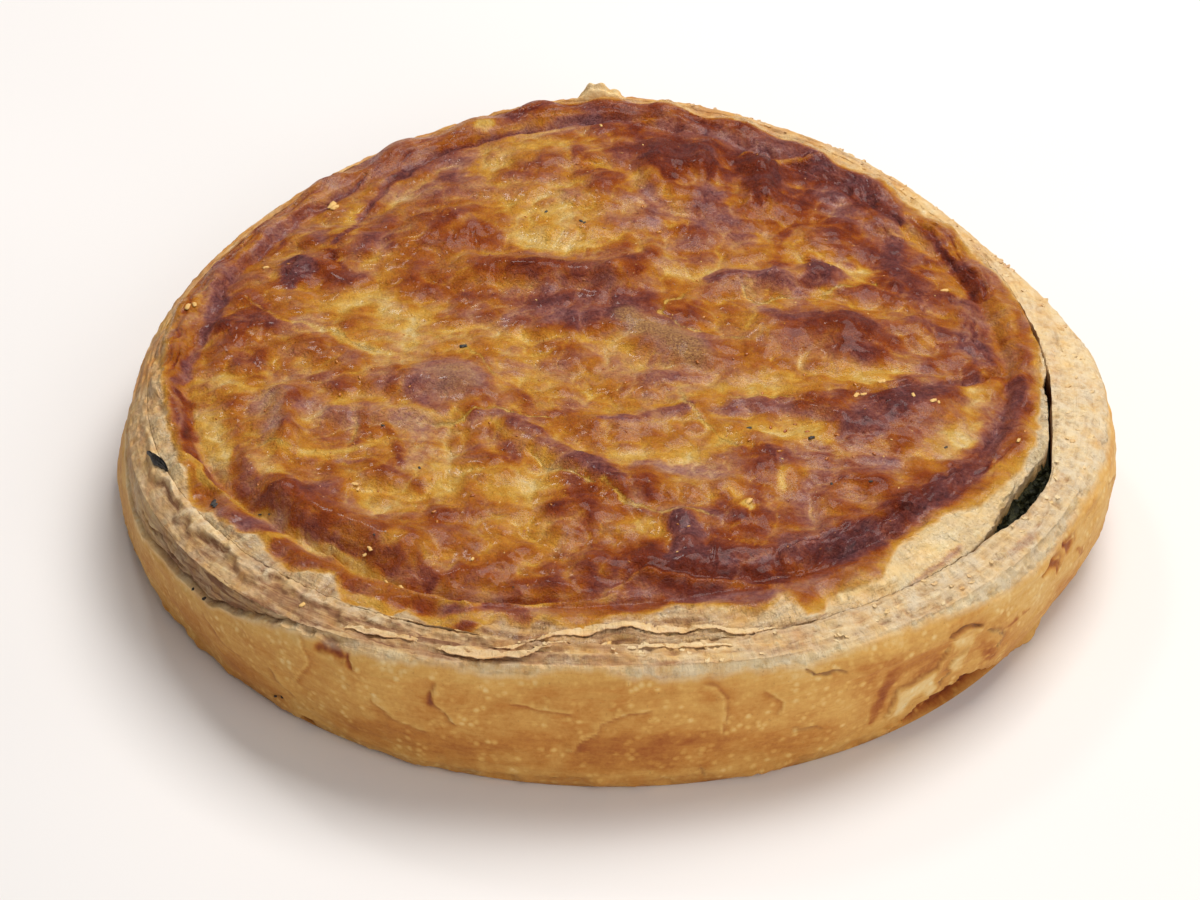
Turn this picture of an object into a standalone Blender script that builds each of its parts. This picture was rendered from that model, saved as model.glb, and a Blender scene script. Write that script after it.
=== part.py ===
"""A round savoury pie: a pastry case, a leafy green filling that runs through it and a browned, wrinkled lid.

The pie was baked in a 28 cm springform tin and turned out. Sizes are in millimetres and the meshes are written
in metres. The origin is the middle of the base, on the surface that the pie stands on, with +Z up and -Y
towards the side where the layered edge shows most. Angles start at +X and run anticlockwise seen from above.

Each solid is first turned as if the pie were perfectly round, and settle() then carries every point to where
the real pie sagged, leaned and spread, so that the solids still fit each other.
"""
import math

import bmesh
import bpy
import numpy as np

MM = 0.001
STEPS = 176  # points round the pie
HALF_GAP = 0.15  # touching solids keep twice this between them

# The round pie as the tin shaped it
TIN_RADIUS = 140.0  # at the shoulder, where the side turns over into the pale edge
BASE_RADIUS = 136.5
SHOULDER_HEIGHT = 39.0
GROOVE_RADIUS = 115.0  # the groove inside the lid's folded border
GROOVE_HEIGHT = 40.0
BROWN_RADIUS = 126.0  # where the browned lid ends
BROWN_HEIGHT = 43.0
SEAM_RADIUS = 130.0  # lid and case meet here
SEAM_HEIGHT = 41.6
MIDDLE_HEIGHT = 45.0
FLOOR_THICKNESS = 5.0
FILLING_HEIGHT = 36.0

# The same places on the real pie, every 30 degrees round it
SETTLED = {
    "base_radius": (142.5, 138, 136, 136, 136, 136, 136.5, 135.5, 137.3, 137.8, 139, 140),
    "groove_radius": (115.5, 114, 114, 116, 115, 113, 115.5, 117, 116, 112, 110, 114),
    "groove_height": (40, 40, 44, 48, 42, 37, 38, 39, 40, 41, 41, 41),
    "brown_radius": (126, 124, 126, 128, 126, 122, 124, 125, 125, 124, 125, 126),
    "brown_height": (42, 42, 46, 49.5, 42.5, 38, 39, 41, 42, 42, 43, 42),
    "shoulder_radius": (143, 134.5, 136, 136.5, 132, 130, 131, 138, 143, 139, 142, 143.5),
    "shoulder_height": (37, 36, 41, 43.5, 36, 31, 30, 35, 40, 43, 40, 38),
}

# The split in the edge where the filling shows
SPLIT_ANGLE = -26.5
SPLIT_HALF_ANGLE = 7.5
SPLIT_WIDTH = 5.0

# The lid's folds and swellings: from x, y to x, y, half width, height
FOLDS = (
    (-94, -55, -80, -74, 7, 3.5),  # big roll at the front left
    (-80, -74, -50, -93, 8, 4.5),
    (-87, -24, -84, -48, 5, 3.0),  # upright fold beside it
    (-72, -33, -28, -36, 5, 1.8),  # long fold across the lid
    (0, -39, 25, -32, 4, 1.6),
    (-22, -42, 6, -66, 5, 2.4),  # slanting fold
    (-46, -20, -36, -20, 10, 3.4),  # dark bubble
    (10, 9, 26, -3, 9, 2.6),  # dull bubble
    (-38, 38, 4, 30, 6.5, 3.6),  # long dark ridge
    (4, 30, 14, 41, 6, 2.8),
    (-66, 52, -46, 62, 12, 2.2),  # low swelling at the left back
    (-89, 42, -89, 42, 6.5, 2.6),  # blister
    (50, 9, 66, 8, 10, 3.6),  # bump on the right
    (74, 10, 88, 14, 9, 2.4),
    (36, 35, 50, 36, 4.5, 2.2),  # curl
    (52, 34, 65, 40, 4.5, 2.4),
    (15, 80, 17, 100, 4.5, 2.6),  # waves at the back right
    (30, 90, 33, 108, 5, 3.0),
    (48, 76, 48, 97, 5, 3.4),
    (64, 99, 84, 72, 6.5, 2.6),
    (104, 4, 107, 32, 5, 1.6),  # wrinkled patch at the right
    (70, -32, 90, -26, 10, 2.2),
    (84, -74, 108, -42, 5.5, 2.4),  # wrinkled folds at the right front
    (56, -88, 78, -76, 6.5, 3.0),
    (24, -80, 26, -97, 6, 3.0),  # dark folds at the front
    (36, -92, 48, -90, 6, 1.8),
    (0, -98, 14, -99, 6, 2.6),
    (14, -66, 34, -65, 7, 1.8),
)


def around(values, angle):
    """A smooth closed curve through values spaced evenly round the pie."""
    values = np.asarray(values, float)
    count = len(values)
    place = (angle / (2 * math.pi) * count) % count
    first = np.floor(place).astype(int) % count
    t = place - np.floor(place)
    a, b, c, d = (values[(first + k) % count] for k in (-1, 0, 1, 2))
    return b + 0.5 * t * (c - a + t * (2 * a - 5 * b + 4 * c - d + t * (3 * (b - c) + d - a)))


def hump(angle, centre, half_angle, sharpness=2):
    """1 at the centre angle, in degrees, falling to nothing past the half angle."""
    off = (np.degrees(angle) - centre + 180) % 360 - 180
    return np.exp(-np.abs(off / half_angle) ** sharpness)


def settle(radius, angle, height):
    """Where a point of the round pie lies on the real one, as x, y, z."""
    real = {name: around(values, angle) for name, values in SETTLED.items()}
    knots = (0.0, GROOVE_RADIUS, BROWN_RADIUS, TIN_RADIUS, 2 * TIN_RADIUS)
    radii = (0.0, real["groove_radius"], real["brown_radius"], real["shoulder_radius"],
             real["shoulder_radius"] + TIN_RADIUS)
    lifts = (0.0, real["groove_height"] - GROOVE_HEIGHT, real["brown_height"] - BROWN_HEIGHT,
             real["shoulder_height"] - SHOULDER_HEIGHT, real["shoulder_height"] - SHOULDER_HEIGHT)
    top_radius = np.zeros_like(radius)
    lift = np.zeros_like(radius)
    for k in range(4):
        here = (radius >= knots[k]) & (radius < knots[k + 1])
        t = (radius - knots[k]) / (knots[k + 1] - knots[k])
        smooth = t * t * (3 - 2 * t) if k == 0 else t
        top_radius = np.where(here, radii[k] + t * (radii[k + 1] - radii[k]), top_radius)
        lift = np.where(here, lifts[k] + smooth * (lifts[k + 1] - lifts[k]), lift)
    share = np.clip(height / SHOULDER_HEIGHT, 0, 1)
    blend = share * share * (3 - 2 * share)
    base_radius = radius * real["base_radius"] / BASE_RADIUS
    real_radius = base_radius + blend * (top_radius - base_radius)
    return real_radius * np.cos(angle), real_radius * np.sin(angle), height + lift * share


def split(angle):
    """How far each side of the split stands back from the seam."""
    return HALF_GAP + 0.5 * SPLIT_WIDTH * hump(angle, SPLIT_ANGLE, SPLIT_HALF_ANGLE, 4)


def polar(points):
    """Radius, angle and height of an array of points."""
    return np.hypot(points[:, 0], points[:, 1]), np.arctan2(points[:, 1], points[:, 0]), points[:, 2].copy()


def read_points(mesh):
    flat = np.empty(3 * len(mesh.vertices))
    mesh.vertices.foreach_get("co", flat)
    return flat.reshape(-1, 3)


def write_points(mesh, x, y, z):
    mesh.vertices.foreach_set("co", (np.stack([x, y, z], 1) * MM).ravel())
    mesh.update()


def baked(name, colour, roughness):
    """A plain material with the pastry's or the filling's colour."""
    material = bpy.data.materials.new(name)
    material.use_nodes = True
    shader = material.node_tree.nodes["Principled BSDF"]
    shader.inputs["Base Color"].default_value = (*colour, 1)
    shader.inputs["Roughness"].default_value = roughness
    shader.inputs["Metallic"].default_value = 0
    return material


def place(name, data, material):
    piece = bpy.data.objects.new(name, data)
    data.materials.append(material)
    pie.objects.link(piece)
    return piece


def turned(name, profile):
    """The mesh, in millimetres, of a profile of radius and height pairs turned round Z."""
    outline = bpy.data.meshes.new(name + "_profile")
    edges = [(k, k + 1) for k in range(len(profile) - 1)]
    outline.from_pydata([(r, 0, z) for r, z in profile], edges, [])
    piece = bpy.data.objects.new(name + "_profile", outline)
    pie.objects.link(piece)
    screw = piece.modifiers.new("turn", "SCREW")
    screw.axis = "Z"
    screw.steps = STEPS
    screw.render_steps = STEPS
    screw.use_merge_vertices = True
    screw.merge_threshold = 0.0001
    bpy.context.view_layer.update()
    evaluated = piece.evaluated_get(bpy.context.evaluated_depsgraph_get())
    mesh = bpy.data.meshes.new_from_object(evaluated)
    mesh.name = name
    bpy.data.objects.remove(piece)
    bpy.data.meshes.remove(outline)
    return mesh


def edge_layers(radius, angle):
    """Thin pastry layers that stand up along the pale edge, most of all at the front left."""
    layer_pitch = 4.3
    ragged = 0.3 + 0.7 * hump(angle, 240, 65, 4)
    wander = 1.7 * np.sin(2 * angle + 0.6) + 0.9 * np.sin(5 * angle)
    return 1.2 * ragged * np.sin(2 * math.pi * (radius - SEAM_RADIUS) / layer_pitch + wander)


def make_case():
    """Bottom, side wall and pale edge of the case, one shell that is open above the filling."""
    seam = SEAM_RADIUS
    cavity = [(0, FLOOR_THICKNESS), (124, FLOOR_THICKNESS), (129, 11), (seam, FILLING_HEIGHT)]
    edge = [(seam, SEAM_HEIGHT), (132.2, 42.0), (134.4, 41.2), (136.6, 41.0), (138.7, 40.0)]
    side = [(TIN_RADIUS, 38.2), (140.9, 34), (140.6, 25), (139.0, 14), (136.9, 5)]
    foot = [(135.8, 1.6), (132.5, 0), (0, 0)]
    mesh = turned("crust_case", cavity + edge + side + foot)
    radius, angle, height = polar(read_points(mesh))

    inner = (np.abs(radius - seam) < 0.01) | ((radius > 1) & (radius < 129.5) & (height > 1))
    outer_edge = (height > 39.5) & (radius > seam + 1)
    wall = (radius > 136.8) & (height < 39.5)
    foot_edge = np.abs(height - 1.6) < 0.01

    height += np.where(outer_edge, edge_layers(radius, angle), 0)
    height += np.where(outer_edge & (radius < 133), 7 * hump(angle, 91.5, 2.5), 0)  # flake at the back
    radius += np.where(inner, split(angle), 0)
    radius += np.where(outer_edge & (radius < 133), 0.8 * split(angle), 0)
    swell = 0.5 * np.sin(3 * angle + 1) + 0.4 * np.sin(7 * angle + 2) + 0.3 * np.sin(16 * angle)
    torn = 0.9 * hump(angle, 307, 9, 4) * (height < 30) + 2.2 * hump(angle, 317, 5) * (height < 12)
    sag = 2.4 * hump(angle, 345, 30) * 4 * height * (SHOULDER_HEIGHT - height) / SHOULDER_HEIGHT ** 2
    radius += np.where(wall, swell - torn + np.maximum(sag, 0), 0)
    ragged = 0.6 + 0.4 * np.sin(11 * angle) + 0.5 * np.sin(27 * angle + 1)
    notch = hump(angle, 237.5, 1.8)
    height += np.where(foot_edge, np.clip(ragged, 0, 2) + 2.5 * notch, 0)
    radius += np.where(foot_edge, 0.5 * np.sin(19 * angle) - 2.0 * notch, 0)

    write_points(mesh, *settle(radius, angle, height))
    return place("crust_case", mesh, baked("pale_crust", (0.66, 0.38, 0.14), 0.6))


def make_filling():
    """Chopped greens packed level under the lid, out to the case's wall."""
    profile = [(0, FILLING_HEIGHT), (SEAM_RADIUS, FILLING_HEIGHT), (129, 11), (124, FLOOR_THICKNESS),
               (0, FLOOR_THICKNESS)]
    mesh = turned("filling", profile)
    radius, angle, height = polar(read_points(mesh))
    rim = radius > 1
    top = height > 0.5 * FILLING_HEIGHT
    radius += np.where(rim, split(angle) - 3 * HALF_GAP, 0)
    height += np.where(top, -2.5 * HALF_GAP, 2.5 * HALF_GAP)
    write_points(mesh, *settle(radius, angle, height))
    return place("filling", mesh, baked("greens", (0.03, 0.035, 0.012), 0.8))


def disc_place(u, v):
    """A square's point carried to a disc so that squares round the middle become rings."""
    if max(abs(u), abs(v)) < 1e-9:
        return 0.0, 0.0
    if abs(u) >= abs(v):
        return abs(u), math.pi / 4 * v / u + (math.pi if u < 0 else 0)
    return abs(v), math.pi / 2 - math.pi / 4 * u / v + (math.pi if v < 0 else 0)


def fold_height(x, y):
    """How far the lid's folds and swellings stand up at x, y."""
    total = np.zeros_like(x)
    for x1, y1, x2, y2, half_width, height in FOLDS:
        along = np.array([x2 - x1, y2 - y1], float)
        length2 = max(along @ along, 1e-9)
        t = np.clip(((x - x1) * along[0] + (y - y1) * along[1]) / length2, 0, 1)
        distance = np.hypot(x - x1 - t * along[0], y - y1 - t * along[1])
        total += height * np.exp(-(distance / half_width) ** 2)
    return total


def make_lid():
    """The browned top sheet with its folded border, flat underneath where it lies on the filling."""
    rings = STEPS // 8
    field_rings = rings - 6
    border = [112, GROOVE_RADIUS, 118.3, 122, BROWN_RADIUS, SEAM_RADIUS]
    ring_radii = np.concatenate([np.linspace(0, 108.5, field_rings + 1), border])
    border_heights = {112: 41.0, GROOVE_RADIUS: 39.4, 118.3: 42.2, 122: 43.8, BROWN_RADIUS: 43.0,
                      SEAM_RADIUS: SEAM_HEIGHT}

    shape = bmesh.new()
    bmesh.ops.create_grid(shape, x_segments=2 * rings, y_segments=2 * rings, size=1)
    edges = [edge for edge in shape.edges if edge.is_boundary]
    grown = bmesh.ops.extrude_edge_only(shape, edges=edges)["geom"]
    underside = [item for item in grown if isinstance(item, bmesh.types.BMVert)]
    for vertex in shape.verts:
        ring, angle = disc_place(vertex.co.x, vertex.co.y)
        radius = ring_radii[round(ring * rings)]
        field = MIDDLE_HEIGHT + (GROOVE_HEIGHT - MIDDLE_HEIGHT) * (radius / GROOVE_RADIUS) ** 4
        height = border_heights.get(float(radius), field)
        vertex.co = (radius * math.cos(angle), radius * math.sin(angle), height)
    for vertex in underside:
        vertex.co.z = FILLING_HEIGHT
    bottom_edges = [edge for edge in shape.edges if edge.is_boundary]
    cap = bmesh.ops.contextual_create(shape, geom=bottom_edges)["faces"]
    centre = bmesh.ops.poke(shape, faces=cap)["verts"][0]
    centre.co = (0, 0, FILLING_HEIGHT)
    bmesh.ops.recalc_face_normals(shape, faces=shape.faces)
    mesh = bpy.data.meshes.new("lid")
    shape.to_mesh(mesh)
    shape.free()

    radius, angle, height = polar(read_points(mesh))
    top = height > FILLING_HEIGHT + 1
    border_zone = np.clip((radius - GROOVE_RADIUS) / (BROWN_RADIUS - GROOVE_RADIUS), 0, 1)
    border_zone *= np.clip((SEAM_RADIUS - radius) / (SEAM_RADIUS - BROWN_RADIUS), 0, 1)
    lobes = np.sin(33 * angle + 1.5 * np.sin(4 * angle)) + 0.5 * np.sin(21 * angle + 2)
    height += np.where(top, 1.0 * border_zone * lobes, 0)
    radius += np.where(top, 1.3 * border_zone * lobes, 0)
    radius -= split(angle) * np.clip((radius - BROWN_RADIUS) / (SEAM_RADIUS - BROWN_RADIUS), 0, 1)
    x, y, z = settle(radius, angle, height)
    fade = np.clip((GROOVE_RADIUS + 4 - radius) / 10, 0, 1)
    z += np.where(top, fade * fold_height(x, y), 0)
    write_points(mesh, x, y, z)
    mesh.shade_smooth()
    return place("lid", mesh, baked("browned_lid", (0.42, 0.13, 0.035), 0.35))


def make_leaf_scrap():
    """A dried shred of leaf that poked out of the seam at the left, a flat tapering twist."""
    stretch = ((201.0, 133.4, 0.35), (202.2, 132.6, 0.8), (203.6, 131.8, 1.1), (205.0, 131.0, 0.9),
               (206.3, 130.4, 0.4))
    above_edge = 2.4
    data = bpy.data.curves.new("leaf_scrap", "CURVE")
    data.dimensions = "3D"
    data.bevel_depth = 1.0 * MM
    data.bevel_resolution = 1
    data.use_fill_caps = True
    spline = data.splines.new("POLY")
    spline.points.add(len(stretch) - 1)
    for point, (degrees, radius, thickness) in zip(spline.points, stretch):
        spot = np.array([radius]), np.array([math.radians(degrees)]), np.array([SEAM_HEIGHT + above_edge])
        x, y, z = (float(value[0]) for value in settle(*spot))
        point.co = (x * MM, y * MM, z * MM, 1)
        point.radius = thickness
    return place("leaf_scrap", data, baked("dried_leaf", (0.012, 0.014, 0.008), 0.7))


for leftover in list(bpy.data.objects):
    bpy.data.objects.remove(leftover)
pie = bpy.data.collections.new("savoury_pie")
bpy.context.scene.collection.children.link(pie)
make_case()
make_filling()
make_lid()
make_leaf_scrap()
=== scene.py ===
import math

import bpy
import numpy as np
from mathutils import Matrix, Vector
from mathutils.bvhtree import BVHTree


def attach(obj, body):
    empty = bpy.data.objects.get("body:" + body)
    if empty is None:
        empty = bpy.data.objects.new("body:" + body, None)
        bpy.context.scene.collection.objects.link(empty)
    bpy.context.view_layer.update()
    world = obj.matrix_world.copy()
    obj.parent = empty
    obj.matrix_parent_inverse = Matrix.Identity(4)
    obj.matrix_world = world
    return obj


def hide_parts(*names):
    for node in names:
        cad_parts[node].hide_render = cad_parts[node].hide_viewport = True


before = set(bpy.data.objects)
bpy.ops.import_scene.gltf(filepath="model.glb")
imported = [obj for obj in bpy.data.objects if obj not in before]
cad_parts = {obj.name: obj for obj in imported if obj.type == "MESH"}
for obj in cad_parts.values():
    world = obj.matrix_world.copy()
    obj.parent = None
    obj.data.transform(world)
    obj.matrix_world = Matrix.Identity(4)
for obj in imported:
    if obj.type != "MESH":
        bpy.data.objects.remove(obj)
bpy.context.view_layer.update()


# The pastry case: a crisp golden wall that took its shape from a springform tin, and above it the pale edge,
# where the dough stood clear of the tin and its thin layers parted and tore. It is one sheet of laminated
# dough, baked on to the filling, so wall, edge and bottom are one piece.
MM = 0.001
MM_PER_DEGREE = 2.443  # along the wall
BASE_RADIUS = 136.5
TIN_RADIUS, TIN_TOP = 140.0, 38.2  # the tin held the wall up to here
SHOULDER_HEIGHT = 39.0
SEAM_RADIUS, SEAM_HEIGHT = 130.0, 41.6  # lid and case meet here
GROOVE_RADIUS, GROOVE_HEIGHT = 115.0, 40.0
BROWN_RADIUS, BROWN_HEIGHT = 126.0, 43.0
FILLING_HEIGHT = 36.0
SETTLED = {  # radii and heights every 30 degrees from +X anticlockwise
    "base_radius": (142.5, 138, 136, 136, 136, 136, 136.5, 135.5, 137.3, 137.8, 139, 140),
    "groove_radius": (115.5, 114, 114, 116, 115, 113, 115.5, 117, 116, 112, 110, 114),
    "groove_height": (40, 40, 44, 48, 42, 37, 38, 39, 40, 41, 41, 41),
    "brown_radius": (126, 124, 126, 128, 126, 122, 124, 125, 125, 124, 125, 126),
    "brown_height": (42, 42, 46, 49.5, 42.5, 38, 39, 41, 42, 42, 43, 42),
    "shoulder_radius": (143, 134.5, 136, 136.5, 132, 130, 131, 138, 143, 139, 142, 143.5),
    "shoulder_height": (37, 36, 41, 43.5, 36, 31, 30, 35, 40, 43, 40, 38),
}


def around(values, angle):
    """A smooth closed curve through values spaced evenly round the pie."""
    values = np.asarray(values, float)
    count = len(values)
    place = (angle / (2 * math.pi) * count) % count
    first = np.floor(place).astype(int) % count
    t = place - np.floor(place)
    a, b, c, d = (values[(first + k) % count] for k in (-1, 0, 1, 2))
    return b + 0.5 * t * (c - a + t * (2 * a - 5 * b + 4 * c - d + t * (3 * (b - c) + d - a)))


def hump(angle, centre, half_angle, sharpness=2):
    """1 at the centre angle, in degrees, falling to nothing past the half angle."""
    off = (np.degrees(angle) - centre + 180) % 360 - 180
    return np.exp(-np.abs(off / half_angle) ** sharpness)


def settle(radius, angle, height):
    """Where a point of the round pie lies on the real, sagged one, as x, y, z in mm."""
    real = {name: around(values, angle) for name, values in SETTLED.items()}
    knots = (0.0, GROOVE_RADIUS, BROWN_RADIUS, TIN_RADIUS, 2 * TIN_RADIUS)
    radii = (0.0, real["groove_radius"], real["brown_radius"], real["shoulder_radius"],
             real["shoulder_radius"] + TIN_RADIUS)
    shoulder_lift = real["shoulder_height"] - SHOULDER_HEIGHT
    lifts = (0.0, real["groove_height"] - GROOVE_HEIGHT, real["brown_height"] - BROWN_HEIGHT, shoulder_lift,
             shoulder_lift)
    top_radius, lift = np.zeros_like(radius), np.zeros_like(radius)
    for k in range(len(knots) - 1):
        here = (radius >= knots[k]) & (radius < knots[k + 1])
        t = (radius - knots[k]) / (knots[k + 1] - knots[k])
        smooth = t * t * (3 - 2 * t) if k == 0 else t
        top_radius = np.where(here, radii[k] + t * (radii[k + 1] - radii[k]), top_radius)
        lift = np.where(here, lifts[k] + smooth * (lifts[k + 1] - lifts[k]), lift)
    share = np.clip(height / SHOULDER_HEIGHT, 0, 1)
    blend = share * share * (3 - 2 * share)
    base_radius = radius * real["base_radius"] / BASE_RADIUS
    real_radius = base_radius + blend * (top_radius - base_radius)
    return real_radius * np.cos(angle), real_radius * np.sin(angle), height + lift * share


def cloud(x, y, z, size, seed, octaves=3):
    """Smooth noise from about -1 to 1 in lumps of a size in mm, always the same for one seed."""
    cells, start, octave_shift = 64, 3.1, 11.7
    lattice = np.random.default_rng(seed).uniform(-1, 1, (cells, cells, cells))
    total = np.zeros(np.broadcast(x, y, z).shape)
    for octave in range(octaves):
        spots = [np.asarray(v) * 2 ** octave / size + octave_shift * octave + start for v in (x, y, z)]
        bases = [np.floor(v).astype(int) for v in spots]
        shares = [(v - b) ** 2 * (3 - 2 * (v - b)) for v, b in zip(spots, bases)]
        for corner in range(8):
            steps = [(corner >> axis) & 1 for axis in range(3)]
            weight = np.ones_like(total)
            for share, step in zip(shares, steps):
                weight = weight * (share if step else 1 - share)
            index = tuple((b + step) % cells for b, step in zip(bases, steps))
            total += 0.5 ** octave * weight * lattice[index]
    return total


def stroke(a, b, points, firmness):
    """1 along a stroke through points of place and half width, falling to 0 beside it."""
    mask = np.zeros_like(a)
    points = list(points)
    for (a1, b1, w1), (a2, b2, w2) in zip(points, points[1:] or points):
        reach = 2.3 * max(w1, w2)
        near = (a > min(a1, a2) - reach) & (a < max(a1, a2) + reach)
        near &= (b > min(b1, b2) - reach) & (b < max(b1, b2) + reach)
        da, db = a2 - a1, b2 - b1
        t = np.clip(((a[near] - a1) * da + (b[near] - b1) * db) / max(da * da + db * db, 1e-9), 0, 1)
        off = np.hypot(a[near] - a1 - t * da, b[near] - b1 - t * db) / (w1 + (w2 - w1) * t)
        mask[near] = np.maximum(mask[near], np.exp(-off ** firmness))
    return mask


def ease(value, low, high):
    """0 below low, 1 above high and smooth between."""
    t = np.clip((value - low) / (high - low), 0, 1)
    return t * t * (3 - 2 * t)


SHARP_FOLD = math.radians(62)  # steeper folds keep a sharp edge


def baked_piece(name, points, faces, material, slot_name, marks=None):
    """A mesh from points in mm, with its marks as vertex attributes, that rides on the pie."""
    data = bpy.data.meshes.new(name)
    data.from_pydata((np.asarray(points) * MM).tolist(), [], faces)
    data.materials.append(material)
    for label, values in (marks or {}).items():
        data.attributes.new(label, "FLOAT", "POINT").data.foreach_set("value", values.astype(np.float32))
    data.shade_smooth()
    data.set_sharp_from_angle(angle=SHARP_FOLD)
    piece = bpy.data.objects.new(name, data)
    bpy.context.scene.collection.objects.link(piece)
    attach(piece, "root")
    return piece


def lay(tree, kind, sockets=None, **settings):
    """One shader node with its settings, and each socket given a value or another node's output."""
    made = tree.nodes.new(kind)
    for label, value in settings.items():
        setattr(made, label, value)
    for label, value in (sockets or {}).items():
        if isinstance(value, bpy.types.NodeSocket):
            tree.links.new(value, made.inputs[label])
        else:
            made.inputs[label].default_value = value
    return made


def maths(tree, operation, first, second=0.0, third=0.0, clamp=False):
    """The output of a Math node."""
    return lay(tree, "ShaderNodeMath", {0: first, 1: second, 2: third}, operation=operation,
               use_clamp=clamp).outputs[0]


def times(tree, first, second, plus=None, clamp=False):
    """Two values multiplied, and a third one added."""
    if plus is None:
        return maths(tree, "MULTIPLY", first, second, clamp=clamp)
    return maths(tree, "MULTIPLY_ADD", first, second, plus, clamp)


def ranged(tree, value, low, high, low_gives=0.0, high_gives=1.0):
    """A value carried from the range low to high into another one, and kept inside it."""
    sockets = {"Value": value, 1: low, 2: high, 3: low_gives, 4: high_gives}
    return lay(tree, "ShaderNodeMapRange", sockets).outputs[0]


def places(tree):
    """Where each point lies on its own piece, in metres."""
    return lay(tree, "ShaderNodeTexCoord").outputs["Object"]


def noise(tree, vector, scale, detail=3.0, roughness=0.55, distortion=0.0):
    """The value of a Noise node at a place in metres."""
    sockets = {"Vector": vector, "Scale": scale, "Detail": detail, "Roughness": roughness,
               "Distortion": distortion}
    return lay(tree, "ShaderNodeTexNoise", sockets).outputs["Fac"]


def round_spots(tree, vector, scale, edge, core):
    """Round spots, one to a cell: 0 outside the edge distance, 1 inside the core distance."""
    sockets = {"Vector": vector, "Scale": scale, "Randomness": 1.0}
    cells = lay(tree, "ShaderNodeTexVoronoi", sockets, feature="F1")
    return ranged(tree, cells.outputs["Distance"], edge, core)


def mixed(tree, share, first, second):
    """The colour output of a Mix node."""
    sockets = {0: share, 6: first, 7: second}
    return lay(tree, "ShaderNodeMix", sockets, data_type="RGBA", clamp_factor=True).outputs[2]


def srgb(red, green, blue):
    """A display colour from 0 to 255 as the linear colour that shaders use."""
    return tuple(v / 3294.6 if v < 10.3 else ((v / 255 + 0.055) / 1.055) ** 2.4
                 for v in (red, green, blue)) + (1.0,)


def colour_scale(tree, value, stops):
    """The colour output of a Color Ramp through stops of place and display colour."""
    made = lay(tree, "ShaderNodeValToRGB", {"Fac": value})
    ramp = made.color_ramp
    while len(ramp.elements) < len(stops):
        ramp.elements.new(0.5)
    for element, (place, colour) in zip(ramp.elements, stops):
        element.position = place
        element.color = srgb(*colour)
    return made.outputs["Color"]


def new_effect(name, inputs):
    """A node group with named inputs that puts out colour, roughness and height, and its two end nodes."""
    tree = bpy.data.node_groups.new(name, "ShaderNodeTree")
    for label, value in inputs.items():
        socket = tree.interface.new_socket(name=label, in_out="INPUT", socket_type="NodeSocketFloat")
        socket.default_value = value
    for label in ("Color", "Roughness", "Height"):
        kind = "NodeSocketColor" if label == "Color" else "NodeSocketFloat"
        tree.interface.new_socket(name=label, in_out="OUTPUT", socket_type=kind)
    return tree, tree.nodes.new("NodeGroupInput").outputs, tree.nodes.new("NodeGroupOutput").inputs


def new_material(name, finish):
    """A material, its node tree and its Principled shader, with the finish set on the shader's sockets."""
    material = bpy.data.materials.new(name)
    material.use_nodes = True
    shader = material.node_tree.nodes["Principled BSDF"]
    for label, value in finish.items():
        shader.inputs[label].default_value = value
    return material, material.node_tree, shader


def mark(tree, label):
    """A vertex mark of a piece."""
    name = label.lower().replace(" ", "_")
    return lay(tree, "ShaderNodeAttribute", attribute_name=name).outputs["Fac"]


def marked(tree, group, labels):
    """A node group in a material, with the inputs of these names taken from the piece's vertex marks."""
    return lay(tree, "ShaderNodeGroup", {label: mark(tree, label) for label in labels}, node_tree=group)


def cover(tree, shader, colour, relief=None, roughness=None):
    """Links a shader to a colour, a relief as height, strength and depth in metres, and a roughness."""
    tree.links.new(colour, shader.inputs["Base Color"])
    if roughness is not None:
        tree.links.new(roughness, shader.inputs["Roughness"])
    if relief is not None:
        bump = lay(tree, "ShaderNodeBump", dict(zip(("Height", "Strength", "Distance"), relief)))
        tree.links.new(bump.outputs["Normal"], shader.inputs["Normal"])


# Laminated dough as it bakes: cream where it stayed soft, gold to brown where it toasted, white where flour
# lies on it, with pale blisters, streaks along its layers, dark cracks, and painted shade in the crevices
# between them.
DOUGH_COLOURS = ((0.0, (232, 208, 156)), (0.18, (227, 190, 124)), (0.36, (214, 164, 88)),
                 (0.55, (192, 130, 60)), (0.72, (164, 94, 42)), (0.87, (128, 60, 32)), (1.0, (84, 42, 26)))
# the last colour is for dark cracks and for painted shade in crevices and hollows
FLOUR_COLOUR, SPECK_COLOUR, CRACK_AND_SHADE_COLOUR = (232, 214, 180), (150, 98, 52), (128, 86, 57)
# Seam: dark cracks and lines, and painted shade in crevices and hollows
DOUGH_MARKS = ("Toast", "Flour", "Seam")

dough_inputs = {"Toast": 0.3, "Flour": 0.0, "Seam": 0.0, "Mottle": 1.0}
dough_tree, given, result = new_effect("laminated_dough", dough_inputs)
place = places(dough_tree)
streaked = lay(dough_tree, "ShaderNodeMapping", {"Vector": place, "Scale": (1, 1, 5)}).outputs["Vector"]
patches = noise(dough_tree, place, 80, 5, 0.62, 0.5)
streaks = noise(dough_tree, streaked, 110, 4, 0.6, 0.6)
parts = lay(dough_tree, "ShaderNodeSeparateXYZ", {0: place}).outputs
flat = lay(dough_tree, "ShaderNodeCombineXYZ", {0: parts[0], 1: parts[1]}).outputs[0]
from_middle = lay(dough_tree, "ShaderNodeVectorMath", {0: flat}, operation="LENGTH").outputs["Value"]
round_share = times(dough_tree, maths(dough_tree, "ARCTAN2", parts[1], parts[0]), 0.013)
rolled = lay(dough_tree, "ShaderNodeCombineXYZ", {0: from_middle, 1: round_share, 2: parts[2]}).outputs[0]
layers = noise(dough_tree, rolled, 620, 4, 0.62, 0.6)
unrolled = {0: times(dough_tree, from_middle, 0.35), 1: times(dough_tree, round_share, 9.0)}
fibres = noise(dough_tree, lay(dough_tree, "ShaderNodeCombineXYZ", unrolled).outputs[0], 560, 4, 0.65, 1.2)
fine = noise(dough_tree, place, 900, 4, 0.65)
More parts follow.
